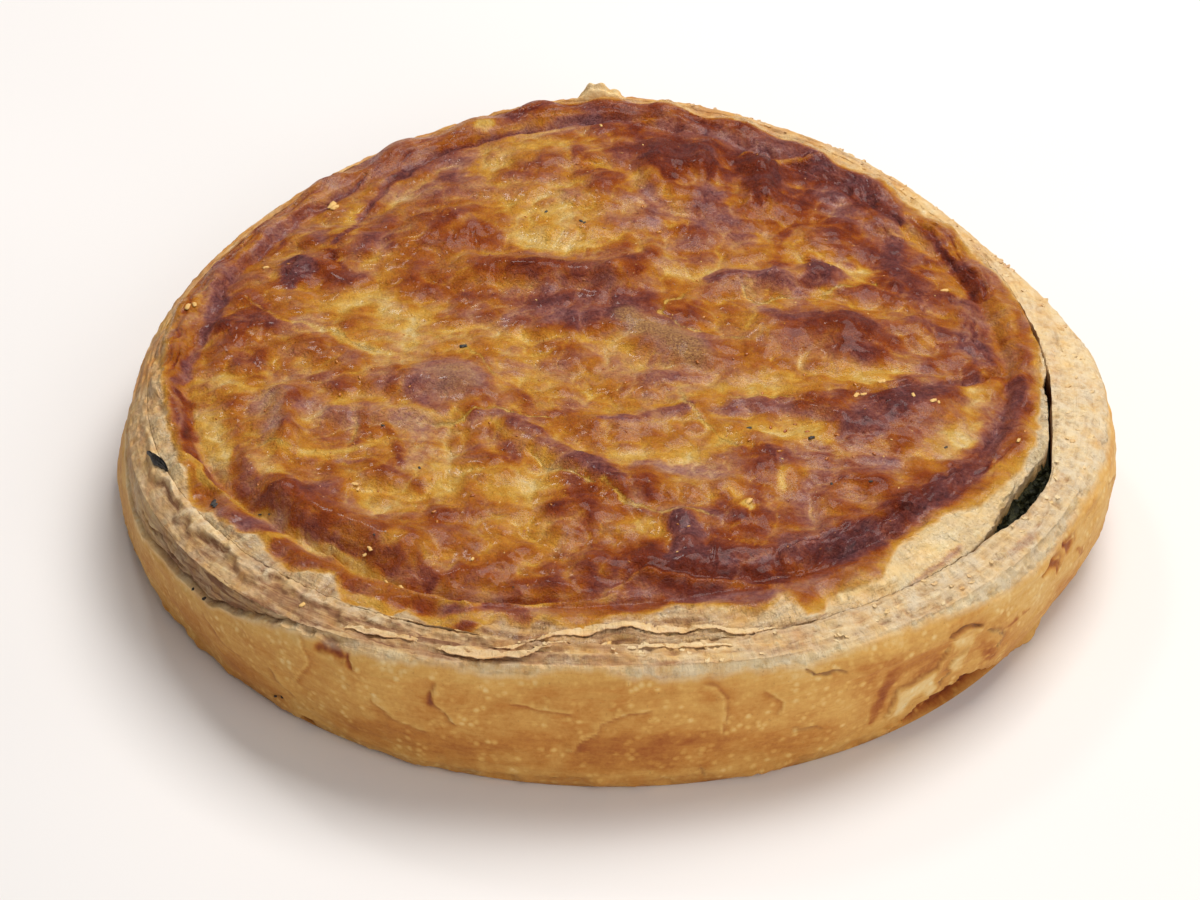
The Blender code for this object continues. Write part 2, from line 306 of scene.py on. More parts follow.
where_blistered = ranged(dough_tree, noise(dough_tree, place, 120, 3), 0.42, 0.6)
blisters = times(dough_tree, round_spots(dough_tree, place, 380, 0.45, 0.15), where_blistered)
blisters = times(dough_tree, blisters, given["Mottle"])
uneven = times(dough_tree, patches, 0.52, times(dough_tree, streaks, 0.26))
toast = times(dough_tree, maths(dough_tree, "SUBTRACT", uneven, 0.38), given["Mottle"], given["Toast"])
toast = times(dough_tree, blisters, -0.22, toast)
toast = maths(dough_tree, "ADD", toast, times(dough_tree, fine, 0.2, -0.1))
# painted shade: the torn dough is toasted darker where its layers and fibres lie low
layer_depth = times(dough_tree, maths(dough_tree, "SUBTRACT", 0.5, layers), given["Flour"])
toast = times(dough_tree, layer_depth, 0.5, toast)
fibre_depth = times(dough_tree, maths(dough_tree, "SUBTRACT", 0.5, fibres), given["Flour"])
toast = times(dough_tree, fibre_depth, 0.6, toast)
baked = colour_scale(dough_tree, toast, DOUGH_COLOURS)
dusted = ranged(dough_tree, noise(dough_tree, place, 200, 5, 0.75), 0.35, 0.6, 0.3, 1.0)
colour = mixed(dough_tree, times(dough_tree, given["Flour"], dusted), baked, srgb(*FLOUR_COLOUR))
specks = ranged(dough_tree, noise(dough_tree, place, 1300, 2), 0.66, 0.76, 0.0, 0.5)
colour = mixed(dough_tree, specks, colour, srgb(*SPECK_COLOUR))
# painted shade: the seam colour gathers down between the layers
shade_between_layers = ranged(dough_tree, layers, 0.3, 0.62, 1.3, 0.45)
cracks_and_shade = times(dough_tree, given["Seam"], shade_between_layers, clamp=True)
colour = mixed(dough_tree, cracks_and_shade, colour, srgb(*CRACK_AND_SHADE_COLOUR))
dough_tree.links.new(colour, result["Color"])
dough_tree.links.new(times(dough_tree, fine, 0.2, 0.55), result["Roughness"])
relief = times(dough_tree, fine, 0.4, times(dough_tree, streaks, 0.5))
relief = times(dough_tree, noise(dough_tree, place, 320, 5, 0.7), 0.6, relief)
relief = times(dough_tree, blisters, 0.15, relief)
torn_relief = times(dough_tree, relief, times(dough_tree, given["Flour"], 1.5, 0.7))
relief = times(dough_tree, layer_depth, -1.6, torn_relief)
relief = times(dough_tree, fibre_depth, -2.0, relief)
dough_tree.links.new(relief, result["Height"])


def dough_material(name, toast_value=None, mottle=1.0):
    """Baked dough; its toast, flour and seam come from vertex marks, or toast is one value all over."""
    material, tree, shader = new_material(name, {"Specular IOR Level": 0.2})
    if toast_value is None:
        effect = marked(tree, dough_tree, DOUGH_MARKS)
    else:
        effect = lay(tree, "ShaderNodeGroup", {"Toast": toast_value}, node_tree=dough_tree)
    effect.inputs["Mottle"].default_value = mottle
    cover(tree, shader, effect.outputs["Color"], (effect.outputs["Height"], 0.7, 0.0007),
          effect.outputs["Roughness"])
    return material


# Marks on the wall: how toasted or dark they make it, how strongly and with how firm an edge, then the points
# they run through as degrees, height and half width in mm
WALL_TOAST = (
    (0.60, 0.8, 2, ((243, 12, 4), (252, 10, 4), (262, 14, 5), (272, 15, 6), (282, 14, 6), (292, 10, 4))),
    (0.70, 0.8, 2, ((270, 14, 3), (275, 17, 4.5), (284, 16.5, 3))),
    (0.62, 0.6, 2, ((249, 13, 3), (253, 12, 3))),
    (0.64, 0.7, 2, ((263, 13, 2), (269, 8.5, 2.5), (279, 8.5, 2.5), (285, 8, 2))),
    (0.55, 0.6, 2, ((255, 28, 3), (268, 32, 4), (276, 32, 5), (288, 27, 5))),
    (0.36, 0.6, 2, ((258.6, 31, 3), (263, 33, 3), (262, 26, 2))),
    (0.38, 0.7, 2, ((276, 21.5, 2), (283, 22, 2), (291, 20, 3))),
    (0.38, 0.7, 2, ((294, 24, 5), (299, 18, 4), (298, 8, 4))),
    (0.56, 0.5, 2, ((262, 8, 8), (280, 9, 8), (296, 10, 7))),
    (0.42, 0.5, 2, ((264, 27, 7), (282, 27, 7), (296, 27, 6))),
    (0.36, 0.6, 2, ((262, 6, 1.6), (274, 6.5, 1.4), (290, 5, 2))),
    (0.26, 0.7, 2, ((322, 28, 8), (345, 27, 12), (375, 26, 12), (400, 26, 8))),
    (0.44, 0.6, 2, ((200, 18, 10), (226, 20, 9), (236, 22, 6))),
    (0.56, 0.6, 2, ((214, 14, 5), (224, 12, 5), (234, 10, 4))),
    (0.72, 1.0, 4, ((302.0, 9.5, 1.2), (302.4, 14, 2.0), (302.6, 20, 2.2), (303.6, 26, 2.2))),
    (0.62, 0.9, 3, ((303.6, 26, 2.4), (306, 28, 2.4), (309.4, 28, 2.6), (309, 23.6, 1.8), (307, 22.6, 1.4))),
    (0.62, 0.8, 2, ((300.5, 27, 1.4), (301, 31, 2), (304, 31.5, 1.6), (299, 33, 1.2))),
    (0.12, 1.0, 5, ((305.6, 10, 2.2), (306, 16, 3.0), (309, 16, 3.0), (310, 12, 2.0))),
    (0.18, 0.9, 4, ((312.4, 28, 2.6), (314, 25, 2.8), (312.6, 20, 2.4), (313.4, 17, 2.0))),
    (0.70, 0.8, 3, ((316.4, 22, 1.4), (317.6, 18, 2.2), (318.6, 14.5, 1.8))),
    (0.86, 0.9, 3, ((241.4, 35.6, 1.6), (242.8, 36.4, 2.6), (243.8, 35, 1.8))),
    (0.82, 0.9, 3, ((244.8, 36, 0.9), (245.2, 33.2, 1.1))),
    (0.74, 0.9, 3, ((254.0, 30, 0.8), (253.9, 27.5, 1.1))),
    (0.78, 0.9, 3, ((326.6, 30, 0.8), (328.4, 32, 1.3), (329.6, 30, 1.4), (329.8, 27.5, 0.8))),
    (0.80, 0.9, 3, ((331.4, 33.5, 1.2), (332.8, 31, 2.0))),
    (0.64, 0.9, 3, ((335, 26, 0.8), (336, 23, 1.2), (337.4, 20.6, 0.8))),
    (0.74, 0.9, 3, ((320.4, 23.6, 0.6), (321.6, 23, 0.8))),
    (0.70, 0.9, 3, ((322.8, 23.4, 0.7), (323.9, 22.6, 0.6))),
)
WALL_SEAMS = (
    (0.9, 1.0, 4, ((312.2, 15.6, 0.5), (311.2, 14.2, 0.6), (311.6, 12.8, 0.5))),
    (0.8, 0.9, 4, ((293.0, 35.8, 0.4), (294.0, 34.2, 0.4), (295.6, 33.3, 0.5), (297.4, 32.8, 0.4))),
    (0.8, 0.9, 4, ((311.0, 31.5, 0.5), (311.5, 32.8, 0.5), (313.6, 31.5, 0.5), (315.6, 28.6, 0.4))),
    (0.8, 0.9, 4, ((316.8, 26, 0.5), (318.4, 24.2, 0.5), (319.5, 20.5, 0.5), (318.8, 17.8, 0.5))),
    (0.9, 1.0, 4, ((207.4, 34.3, 0.5), (210.6, 33.4, 0.5), (213, 34.1, 0.5), (216, 32.2, 0.5))),
    (0.95, 1.0, 4, ((216, 32.2, 0.6), (217.8, 31.6, 0.7), (220.6, 31.9, 0.5))),
    (0.5, 0.9, 3, ((291.4, 16.8, 0.4), (295.4, 14.7, 0.4))),
    (0.7, 0.9, 3, ((282.3, 8, 0.4), (282.9, 3.6, 0.5))),
    (0.6, 0.9, 3, ((233.0, 6.6, 0.5), (234.6, 8.6, 0.8))),
    (0.9, 0.7, 3, ((256, 2.6, 0.8), (258, 2.6, 0.8))),
)
# Skin that lifted on the left of a line: by how many mm, and the line's points as degrees and height
WALL_PEELS = (
    (0.5, ((237.8, 18.8), (238.4, 22.5), (239.2, 25.6), (240.0, 28.9), (239.8, 32.8), (239.2, 35.9),
           (238.4, 37.2))),
    (0.7, ((254.8, 34.3), (254.2, 30.5), (254.2, 27.6), (254.6, 25.8), (255.2, 23.8), (256, 21.7),
           (257, 20.7))),
    (0.7, ((268.8, 13.0), (269.2, 16.5), (270, 18.3), (271.4, 20.7), (271.6, 23.2), (273.8, 26.1),
           (277, 27))),
    (0.5, ((284.4, 17.6), (284.6, 22), (284.2, 29.4), (283.4, 32.6), (281.6, 34.4))),
    (0.5, ((234.0, 20.6), (234.8, 17), (236.2, 13.6), (237.0, 12))),
    (1.1, ((311.2, 28.4), (310.7, 24.5), (309.9, 20.2), (307.5, 20.4), (304.9, 19.6), (304.2, 15),
           (303.9, 8.5))),
    (1.0, ((316, 27.6), (313.8, 30.6), (312, 31.6), (310.9, 30.4))),
    (0.8, ((318.2, 13.6), (319.3, 17), (319.7, 20.8), (318.6, 24.4), (316.6, 26.2))),
    (0.9, ((314.6, 22.2), (312.6, 21.8), (311.6, 19), (312.4, 16.4))),
    (0.6, ((330.6, 27), (329.9, 29), (330.2, 31.4), (328.6, 33))),
    (0.6, ((333.8, 29.4), (333.6, 32.4), (331.6, 34.2))),
    (0.4, ((247, 25), (249.6, 19), (253.6, 16.6))), (0.4, ((262, 29), (264.6, 26.6), (269, 26.4))),
    (0.4, ((288.4, 31), (290.6, 26.8), (290.2, 22))), (0.4, ((223.6, 25), (226, 19.4), (230, 17.4))),
    (0.4, ((344, 33), (349, 27), (350, 20))), (0.4, ((20, 30), (26, 24), (25, 16))),
    (0.5, ((60, 28), (66, 20), (74, 18))), (0.5, ((120, 24), (124, 14), (131, 12))),
    (0.5, ((160, 26), (158, 18), (163, 10))),
)
# Where the golden skin ends below the pale torn dough, as degrees and height
SKIN_TOP = (
    (0, 38), (30, 37), (60, 38), (120, 35), (160, 31), (185, 31), (203, 29), (215, 29), (224, 30),
    (229, 32.5), (232, 35), (236, 38), (244, 38), (254, 38.7), (260, 37), (264, 37), (267, 40), (272, 40),
    (275, 37), (280, 36), (286, 37.5), (290, 38), (293, 37), (298, 39), (304, 40), (310, 38.5), (316, 36.5),
    (324, 35), (330, 35.5), (337, 38),
)
# Where the foot is torn away, as degrees and height
FOOT_TORN = (
    (0, 0), (235.8, 0), (236.8, 3.4), (237.8, 3.8), (238.4, 0), (304, 0), (306.4, 2.6), (308.4, 7.4),
    (311, 8.8), (313.6, 9.4), (314.2, 11.6), (316.6, 10.6), (319.4, 7.4), (323, 3), (328, 0),
)
# Marks on the pale edge, with the same values, through points of x, y and half width in mm
EDGE_TOAST = (
    (0.5, 0.8, 3, ((12, -123.6, 0.9), (30, -122.4, 1.1), (54, -122, 0.7))),
    (0.66, 0.8, 3, ((3, -127, 1.0), (6, -129, 0.8))),
    (0.78, 0.9, 3, ((110, -85, 0.8), (115, -78.6, 1.5), (119.4, -71, 0.9))),
    (0.85, 0.9, 3, ((83, -101, 0.8), (90, -92.4, 1.2), (97, -84.6, 0.9))),
    (0.46, 0.9, 2, ((112, -73, 1.5), (120, -62, 2.8), (127, -50, 2.2))),
    (0.3, 0.5, 2, ((117, -68, 1.0), (124, -56, 1.4))),
    (0.5, 0.8, 2, ((129.4, -6, 1.6), (129, 2, 1.4), (129.4, 10, 1.0))),
)
EDGE_SEAMS = (
    # painted shade: the first row darkens the hollow under the layers at the front left
    (0.3, 0.8, 2, ((-110, -84, 1.4), (-104, -93, 3.4), (-96, -100, 3.2), (-88, -107, 1.8))),
    (0.35, 0.9, 3, ((-91, -97, 0.5), (-80, -106, 0.7), (-68, -113, 0.8), (-57, -118, 0.7))),
    (1.0, 0.9, 3, ((-81, -114, 0.8), (-76, -118, 1.2), (-70, -121, 0.8))),
    (0.8, 0.9, 3, ((-66, -121, 0.6), (-55, -126, 1.0), (-45, -129, 0.9), (-34, -131, 0.7))),
    (0.5, 0.9, 3, ((-60, -117, 0.4), (-48, -122, 0.6), (-38, -127, 0.7), (-20, -129, 0.5))),
    (0.9, 0.9, 3, ((-27, -132, 0.5), (-20, -134, 0.7), (-16, -133, 0.7), (-12, -130, 0.6), (-7, -127, 0.6))),
    (0.75, 0.9, 3, ((-7, -127, 0.6), (0, -125, 0.6), (11, -125.4, 0.5), (22, -123.6, 0.5),
                    (38, -124.4, 0.4))),
    (0.8, 0.9, 4, ((8, -119.6, 0.4), (17, -118.4, 0.5), (26, -118.4, 0.4), (38, -120.4, 0.5),
                   (47, -119, 0.4))),
    (0.9, 0.9, 3, ((50, -119.4, 0.5), (56, -117.4, 0.8), (61, -113.8, 0.5))),
    (0.6, 0.7, 2, ((-34, -135.4, 0.6), (-20, -138.6, 0.7), (-13, -137, 0.7), (-6, -131.6, 0.6))),
    (0.6, 0.9, 3, ((111, -83, 0.4), (116, -77, 0.6), (119.6, -70.4, 0.4))),
    (0.7, 0.9, 3, ((130.6, 20, 0.5), (131.4, 14, 0.6), (132.4, 10, 0.4))),
)
EDGE_TINTS = (  # degrees: toast, flour and how grey the layers are, a grey that is mostly painted shade
    (0, 0.22, 0.85, 0.12), (30, 0.31, 0.5, 0.16), (62, 0.39, 0.35, 0.16), (95, 0.50, 0.15, 0.14),
    (170, 0.44, 0.2, 0.25), (205, 0.40, 0.35, 0.45), (228, 0.44, 0.4, 1.0), (247, 0.44, 0.4, 0.8),
    (265, 0.42, 0.42, 0.48), (285, 0.37, 0.46, 0.32), (305, 0.30, 0.56, 0.24), (325, 0.28, 0.6, 0.24),
    (345, 0.23, 0.92, 0.16),
)


LAYER_SPACING = 4.3  # mm from one standing layer to the next
FRAY_RADIUS = 133.4  # at the left the torn strands stand up as far out as this
STRANDED, LAYERED, PALE = 222, 266, 316  # degrees where the edge tore to strands, has layers, is palest
SPLIT_MIDDLE, SPLIT_GAP, SEAM_GAP = -26.5, 2.5, 0.15  # degrees, then mm on each side
EDGE_SEAM_DEPTH = 0.5


def edge_layers(radius, angle):
    """Thin pastry layers that stand up along the pale edge, most of all at the front."""
    wander = 1.7 * np.sin(2 * angle + 0.6) + 0.9 * np.sin(5 * angle)
    much = (0.2 + 0.35 * hump(angle, 258, 24, 4)) * (1 - 0.8 * hump(angle, 220, 28, 4))
    return much * np.sin(2 * math.pi * (radius - SEAM_RADIUS) / LAYER_SPACING + wander)


def along_edge(x, y, across, size, seed, octaves=3):
    """Noise in long streaks that follow the pie's round."""
    return cloud(0.09 * x, 0.09 * y, across, size, seed, octaves)


def torn_edge(x, y, across, angle):
    """Relief of the torn dough in mm, its toast and flour, and its seams: dark lines and painted shade."""
    left, front = hump(angle, STRANDED, 30, 4), hump(angle, LAYERED, 22, 4)
    right = hump(angle, PALE, 26, 4)
    on_lid = ease(SEAM_RADIUS - across, -0.2, 0.8)
    fold = along_edge(x, y, across + 0.9 * cloud(x, y, 0, 14, 22, 2), 2.6, 23, 2)
    streak = along_edge(x, y, across, 1.1, 24) * (0.25 + 0.6 * front) * (1 - 0.8 * left)
    puffs = 0.45 - np.abs(cloud(x, y, across, 3.6, 25))
    pits = ease(cloud(x, y, across, 1.7, 40, 2), 0.5, 0.8) * (1 - 0.7 * np.maximum(left, front))
    lines = np.exp(-(fold / 0.08) ** 2) * ease(cloud(x, y, 0, 8, 27, 2), -0.4, 0.2)
    fray = 1.8 * cloud(x, y, 0, 9, 20, 2) + 1.2 * cloud(40 * angle, 0.2 * across, 0, 1.1, 21, 3)
    inner_side = FRAY_RADIUS + fray - across
    raised, hollow = left * ease(inner_side, -0.2, 0.9), left * ease(-inner_side, -0.2, 0.9)
    strands = cloud(70 * angle, 0.2 * across, 0, 1.1, 19, 3) * left
    relief = 0.2 * front * np.tanh(4 * fold) + (1 - 0.7 * left) * puffs + 0.2 * cloud(x, y, across, 1.3, 26)
    relief = relief + raised * (0.7 + 0.5 * strands) - 0.9 * hollow - 0.35 * pits
    degrees, *tints = zip(*EDGE_TINTS)
    toast, flour, painted_shade_grey = (np.interp(np.degrees(angle) % 360, degrees, tint, period=360) for tint in tints)
    toast = toast + 0.16 * streak + 0.1 * cloud(x, y, across, 7, 28, 2)
    toast = toast - 0.1 * raised - 0.1 * strands - 0.04 * hollow
    toast = toast - 0.06 * right - 0.06 * right * on_lid
    flour = flour + 0.3 * cloud(x, y, across, 5, 29, 2) + 0.3 * raised + 0.1 * hollow
    flour = flour + 0.25 * right * (1 - 1.5 * on_lid)
    # painted shade: greyer in hollows, pits and low spots and at the foot of the strands, less on raised
    # strands
    seam = painted_shade_grey * (1 + 1.2 * streak) * (1 - 0.6 * raised) + 0.4 * front * lines + 0.22 * pits
    seam = seam - 0.3 * strands * raised + 0.25 * ease(-puffs, 0.05, 0.45) * (1 - hollow)
    seam = seam + 0.4 * left * np.exp(-((inner_side + 0.5) / 0.7) ** 2)
    seam = seam * (1 - 0.8 * right * on_lid) + 0.06 * right * (1 - on_lid)
    return relief, toast, np.clip(flour, 0, 1), np.clip(seam, 0, 1)


def mark_edge(marks, x, y, z, wobble, where, sinking):
    """Lays the marks of the pale edge over the vertex marks, and sinks its seams."""
    for label, rows in (("toast", EDGE_TOAST), ("seam", EDGE_SEAMS)):
        for target, strength, firmness, points in rows:
            mask = strength * stroke(x + wobble, y + wobble, points, firmness) * where
            marks[label] += mask * (target - marks[label])
            if label == "seam":
                z -= EDGE_SEAM_DEPTH * mask * sinking


def split(angle):
    """How far each side of the split stands back from the seam."""
    return SEAM_GAP + SPLIT_GAP * hump(angle, SPLIT_MIDDLE, 7.5, 4)


def crack(angle):
    """Half the width of the thin crack beyond both ends of the split, and of its one small hole."""
    return 0.24 * hump(angle, -23, 18, 8) + 0.8 * hump(angle, -3.5, 2.2) + 0.3 * hump(angle, 8.5, 2.2)


def seam_shift(angle):
    """The seam lies further in at the right."""
    return -3.2 * hump(angle, 2, 17, 4)


def beside(a, b, points):
    """Distance from a line of points, which side of it (1 for its left), and the share of the line passed."""
    lengths = [math.dist(p, q) for p, q in zip(points, points[1:])]
    best, side, share = np.full_like(a, 1e9), np.ones_like(a), np.zeros_like(a)
    passed = 0.0
    for (a1, b1), (a2, b2), length in zip(points, points[1:], lengths):
        da, db = a2 - a1, b2 - b1
        t = np.clip(((a - a1) * da + (b - b1) * db) / length ** 2, 0, 1)
        off = np.hypot(a - a1 - t * da, b - b1 - t * db)
        closer = off < best
        side = np.where(closer, np.where(da * (b - b1) - db * (a - a1) > 0, 1.0, -1.0), side)
        share = np.where(closer, (passed + t * length) / sum(lengths), share)
        best = np.minimum(best, off)
        passed += length
    return best, side, share


BACK_STEP, FRONT_STEP = 0.7, 0.26  # degrees between points round the pie
turn = np.radians(np.concatenate([np.arange(8, 87, BACK_STEP), np.arange(87, 96, FRONT_STEP),
                                  np.arange(96.2, 187.8, BACK_STEP), np.arange(188, 368, FRONT_STEP)]))


def turned(profile):
    """A profile of radius and height carried round the pie: each point's row, angle, radius and height."""
    row_of, angle = (v.ravel() for v in np.meshgrid(np.arange(len(profile)), turn, indexing="ij"))
    radius, height = (np.array(v)[row_of].astype(float) for v in zip(*profile))
    return row_of, angle, radius, height


def closed_round(points, middles):
    """Points and faces of a turned solid: rings of quads, and at each end a fan round a middle point."""
    grid = np.arange(len(points)).reshape(-1, len(turn))
    ahead = np.roll(grid, -1, axis=1)
    faces = np.stack([grid[:-1], grid[1:], ahead[1:], ahead[:-1]], -1).reshape(-1, 4).tolist()
    faces += [(len(points), a, b) for a, b in zip(grid[0].tolist(), ahead[0].tolist())]
    faces += [(len(points) + 1, b, a) for a, b in zip(grid[-1].tolist(), ahead[-1].tolist())]
    return np.concatenate([points, middles]), faces


BOTTOM_TOP = 5.0  # the filling lies on the bottom of the case at this height
EDGE_SHAPE = ((130, 41.6), (132.2, 42.0), (134.4, 41.4), (136.6, 41.0), (138.7, 40.0))  # radius and height
WALL_SHAPE = ((5, 136.9), (14, 139.0), (25, 140.6), (34, 140.9), (38.2, 140.0))  # height and radius
CORNER = (139.5, 39.2)  # between edge and wall
FLAKE_PLACE, FLAKE_RISE = 90.8, 5.2  # the standing flake at the back: degrees, and mm above the edge
SAG_DEPTH, UNDERCUT_DEPTH = 2.4, 3.6
FLOURY_SIDE = 285  # degrees
edge_radii = np.linspace(SEAM_RADIUS, EDGE_SHAPE[-1][0], 27)
wall_heights = np.concatenate([np.arange(TIN_TOP, 26, -0.38), np.linspace(25.6, 5, 24)])
case_profile = [(60, BOTTOM_TOP), (124, BOTTOM_TOP), (129, 11), (129.6, 24), (SEAM_RADIUS, FILLING_HEIGHT),
                (SEAM_RADIUS, 39.5)]
inner_rows = len(case_profile)
case_profile += zip(edge_radii, np.interp(edge_radii, *zip(*EDGE_SHAPE)))
edge_rows = len(case_profile)
case_profile.append(CORNER)
case_profile += zip(np.interp(wall_heights, *zip(*WALL_SHAPE)), wall_heights)
wall_rows = len(case_profile)
case_profile += [(136.4, 3.2), (135.8, 1.6), (134.6, 0.5), (132.5, 0), (70, 0)]
row_of, angle, radius, height = turned(case_profile)
inner = row_of < inner_rows
on_edge = (row_of >= inner_rows) & (row_of < edge_rows)
on_wall = (row_of >= edge_rows) & (row_of < wall_rows)
foot = (row_of == wall_rows) | (row_of == wall_rows + 1)
degrees = np.degrees(angle) % 360

# The edge stands in torn layers with one flake upright, the wall bulges and sags, and its foot is ragged
u, v, w = settle(radius, angle, height)
skin_top = np.interp(degrees, *zip(*SKIN_TOP), period=360) + 0.9 * cloud(u, v, 0, 5, 30, 3)
torn_zone = np.where(on_edge, 1.0, on_wall * ease(height, skin_top - 0.2, skin_top + 0.3))
across = np.where(on_edge, radius, TIN_RADIUS + TIN_TOP - height)
edge_relief, edge_toast, edge_flour, edge_seam = torn_edge(u, v, across, angle)
# The standing flake is paler and has no seam shade: partly its own pale yellow, partly painted light on a
# face turned from the lamps
flake = hump(angle, FLAKE_PLACE, 3.4, 4) * (radius < 136)
edge_toast += flake * (0.12 - edge_toast)
edge_flour += flake * (0.35 - edge_flour)
edge_seam *= 1 - flake
height += np.where(on_edge, edge_layers(radius, angle) + edge_relief, 0)
flake_outline = np.maximum(hump(angle, 91.3, 2.0, 4), 0.55 * hump(angle, 88.8, 0.9, 4))
flake_outline *= np.clip((radius - SEAM_RADIUS) / 4, 0, 1) * (1 + 0.12 * cloud(u, v, 0, 1.6, 32, 2))
height += np.where(on_edge & (radius < 135), FLAKE_RISE * flake_outline, 0)
lip = np.abs(cloud(u, v, 0, 2.6, 31, 3)) * ease(crack(angle) + split(angle), 0.2, 0.6)
radius += np.where(inner | (row_of == inner_rows), split(angle) + crack(angle) + 0.5 * lip, 0)
radius += np.where(on_edge & (radius < 133), 0.8 * split(angle) * (133 - radius) / 3, 0)
radius += seam_shift(angle) * np.where(inner, radius > 126, on_edge * (1 - ease(radius, 129, 138)))
swell = 0.5 * np.sin(3 * angle + 1) + 0.4 * np.sin(7 * angle + 2) + 0.3 * np.sin(16 * angle)
torn = 0.9 * hump(angle, 307, 9, 4) * (1 - ease(height, 28, 31))
sag = SAG_DEPTH * hump(angle, 345, 30) * 4 * height * (SHOULDER_HEIGHT - height) / SHOULDER_HEIGHT ** 2
dents = 0.6 * cloud(u, v, w, 18, 33, 2) + 0.3 * cloud(u, v, 3 * w, 6, 34, 3)
radius += np.where(on_wall, swell - torn + np.maximum(sag, 0) + dents * ease(CORNER[1] - height, 0, 4), 0)
radius += np.where(on_wall, torn_zone * (edge_relief - 0.5), 0)
skin_lip = on_wall * hump(angle, 221, 20, 6) * ease(cloud(u, v, 0, 7, 39, 3), -0.5, 0)
skin_lip = skin_lip * np.exp(-((height - skin_top - 0.5) / 0.45) ** 2)
radius -= 1.0 * skin_lip
gone = np.interp(degrees, *zip(*FOOT_TORN), period=360) + 0.5 * cloud(u, v, 0, 2, 38, 2)
undercut = (on_wall | foot) * ease(gone - height, -0.3, 0.5) * (gone > 0.7)
radius -= UNDERCUT_DEPTH * undercut
ragged = 0.6 + 0.4 * np.sin(11 * angle) + 0.5 * np.sin(27 * angle + 1) + 0.9 * cloud(u, v, 0, 3, 35, 3)
height += np.where(foot, np.clip(ragged, 0, 2.4), 0)
radius += np.where(foot, 0.5 * np.sin(19 * angle) + 0.9 * cloud(u, v, 0, 5, 36, 3), 0)

# How toasted, floury and dark the case is: its skin, its torn edge, then each mark laid over them
x, y, z = settle(radius, angle, height)
below = skin_top - height
torn_marks = {"toast": edge_toast, "flour": edge_flour, "seam": edge_seam}
skin_marks = {"toast": 0.45 - 0.12 * (1 - ease(below, 0, 8)),
              "flour": 0.45 * (1 - ease(below, 0, 2.2)), "seam": 0.0}
case_marks = {}
for label, values in torn_marks.items():
    bare = np.where(on_edge, values, skin_marks[label])
    case_marks[label] = np.where(on_wall, bare + torn_zone * (values - bare), bare)
floury_lip = on_wall * torn_zone * hump(angle, FLOURY_SIDE, 44, 4)
case_marks["toast"] -= 0.16 * floury_lip
case_marks["flour"] += 0.4 * floury_lip * (1 - case_marks["flour"])
case_marks["seam"] *= 1 - 0.8 * floury_lip
case_marks["seam"] = np.maximum(case_marks["seam"], 0.95 * skin_lip)
case_marks["toast"] = np.where(inner, 0.72, case_marks["toast"])
case_marks["seam"] = np.where(inner, 0.35, case_marks["seam"])
arc = np.where(degrees < 100, degrees + 360, degrees) * MM_PER_DEGREE
wobble = 0.8 * cloud(u, v, w, 4, 37, 3)
sunk = np.zeros_like(x)
for label, rows in (("toast", WALL_TOAST), ("seam", WALL_SEAMS)):
    for target, strength, firmness, points in rows:
        line = [(a * MM_PER_DEGREE, b, c) for a, b, c in points]
        mask = strength * stroke(arc + wobble, height + wobble, line, firmness) * (on_wall | foot)
        case_marks[label] += mask * (target - case_marks[label])
        sunk += mask * (0.6 if label == "seam" else 0.8 * (target > 0.75))
for lift, points in WALL_PEELS:
    shifted = [((a + 360 if a < 100 else a) * MM_PER_DEGREE, b) for a, b in points]
    off, side, share = beside(arc + wobble, height + 0.6 * wobble, shifted)
    ends = ease(share, 0, 0.1) * (1 - ease(share, 0.9, 1)) * on_wall
    lifted = ease(side * off, -0.5, 0.5)
    sunk -= ends * lifted * lift * np.exp(-off / 3.2)
    case_marks["toast"] -= ends * lifted * 0.16 * np.exp(-(off / 0.9) ** 2)
    # painted shadow: darker beside the lifted skin, with a dark line along its edge
    case_marks["toast"] += ends * (1 - lifted) * 0.2 * np.exp(-off / 1.4)
    case_marks["seam"] += ends * 0.45 * lift * np.exp(-((side * off + 0.45) / 0.55) ** 2)
# painted shade: where the foot is torn away, the dough under it is coloured dark brown
case_marks["toast"] = np.where(undercut > 0.5, 0.8, case_marks["toast"])
mark_edge(case_marks, x, y, z, wobble, on_edge, 1.0)
shrink = 1 - np.where(on_wall, sunk, 0) / np.hypot(x, y)
x, y = x * shrink, y * shrink

case_points, faces = closed_round(np.stack([x, y, z], 1), [(0, 0, BOTTOM_TOP), (0, 0, 0)])
case_marks = {label: np.concatenate([values, [0.3, 0.45]]) for label, values in case_marks.items()}
case = baked_piece("pastry_case", case_points, faces, dough_material("baked_case"), "pale_crust", case_marks)
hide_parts("crust_case")
case_tree = BVHTree.FromPolygons(case_points.tolist(), faces)


# The filling: chopped leafy greens, packed and baked dark, that run through the pie. They show in the split
# at the right, where a few curled leaves stand up from the rest.
FILLING_GAP = 0.375  # mm between the filling and the dough, above and below
fill_radii = (60, 110, 122, 124, 125, 126, 127, 127.8, 128.6, 129.4, SEAM_RADIUS)
fill_profile = [(r, FILLING_HEIGHT) for r in fill_radii] + [(129, 11), (124, BOTTOM_TOP), (60, BOTTOM_TOP)]
angle, radius, height = turned(fill_profile)[1:]
radius += split(angle) + crack(angle) - 0.45 + seam_shift(angle) * ease(radius, 110, SEAM_RADIUS)
leafy = hump(angle, SPLIT_MIDDLE, 11, 4) * ease(radius, 123, 126) * (height > 30)
height += np.where(height > 20, -FILLING_GAP, FILLING_GAP)
x, y, z = settle(radius, angle, height)
z += leafy * (2.2 + 1.6 * cloud(x, y, 0, 2.2, 51, 3))
fill_points, faces = closed_round(np.stack([x, y, z], 1), [(0, 0, 35.6), (0, 0, 5.4)])
greens, tree, shader = new_material("cooked_greens", {"Roughness": 0.6, "Specular IOR Level": 0.2})
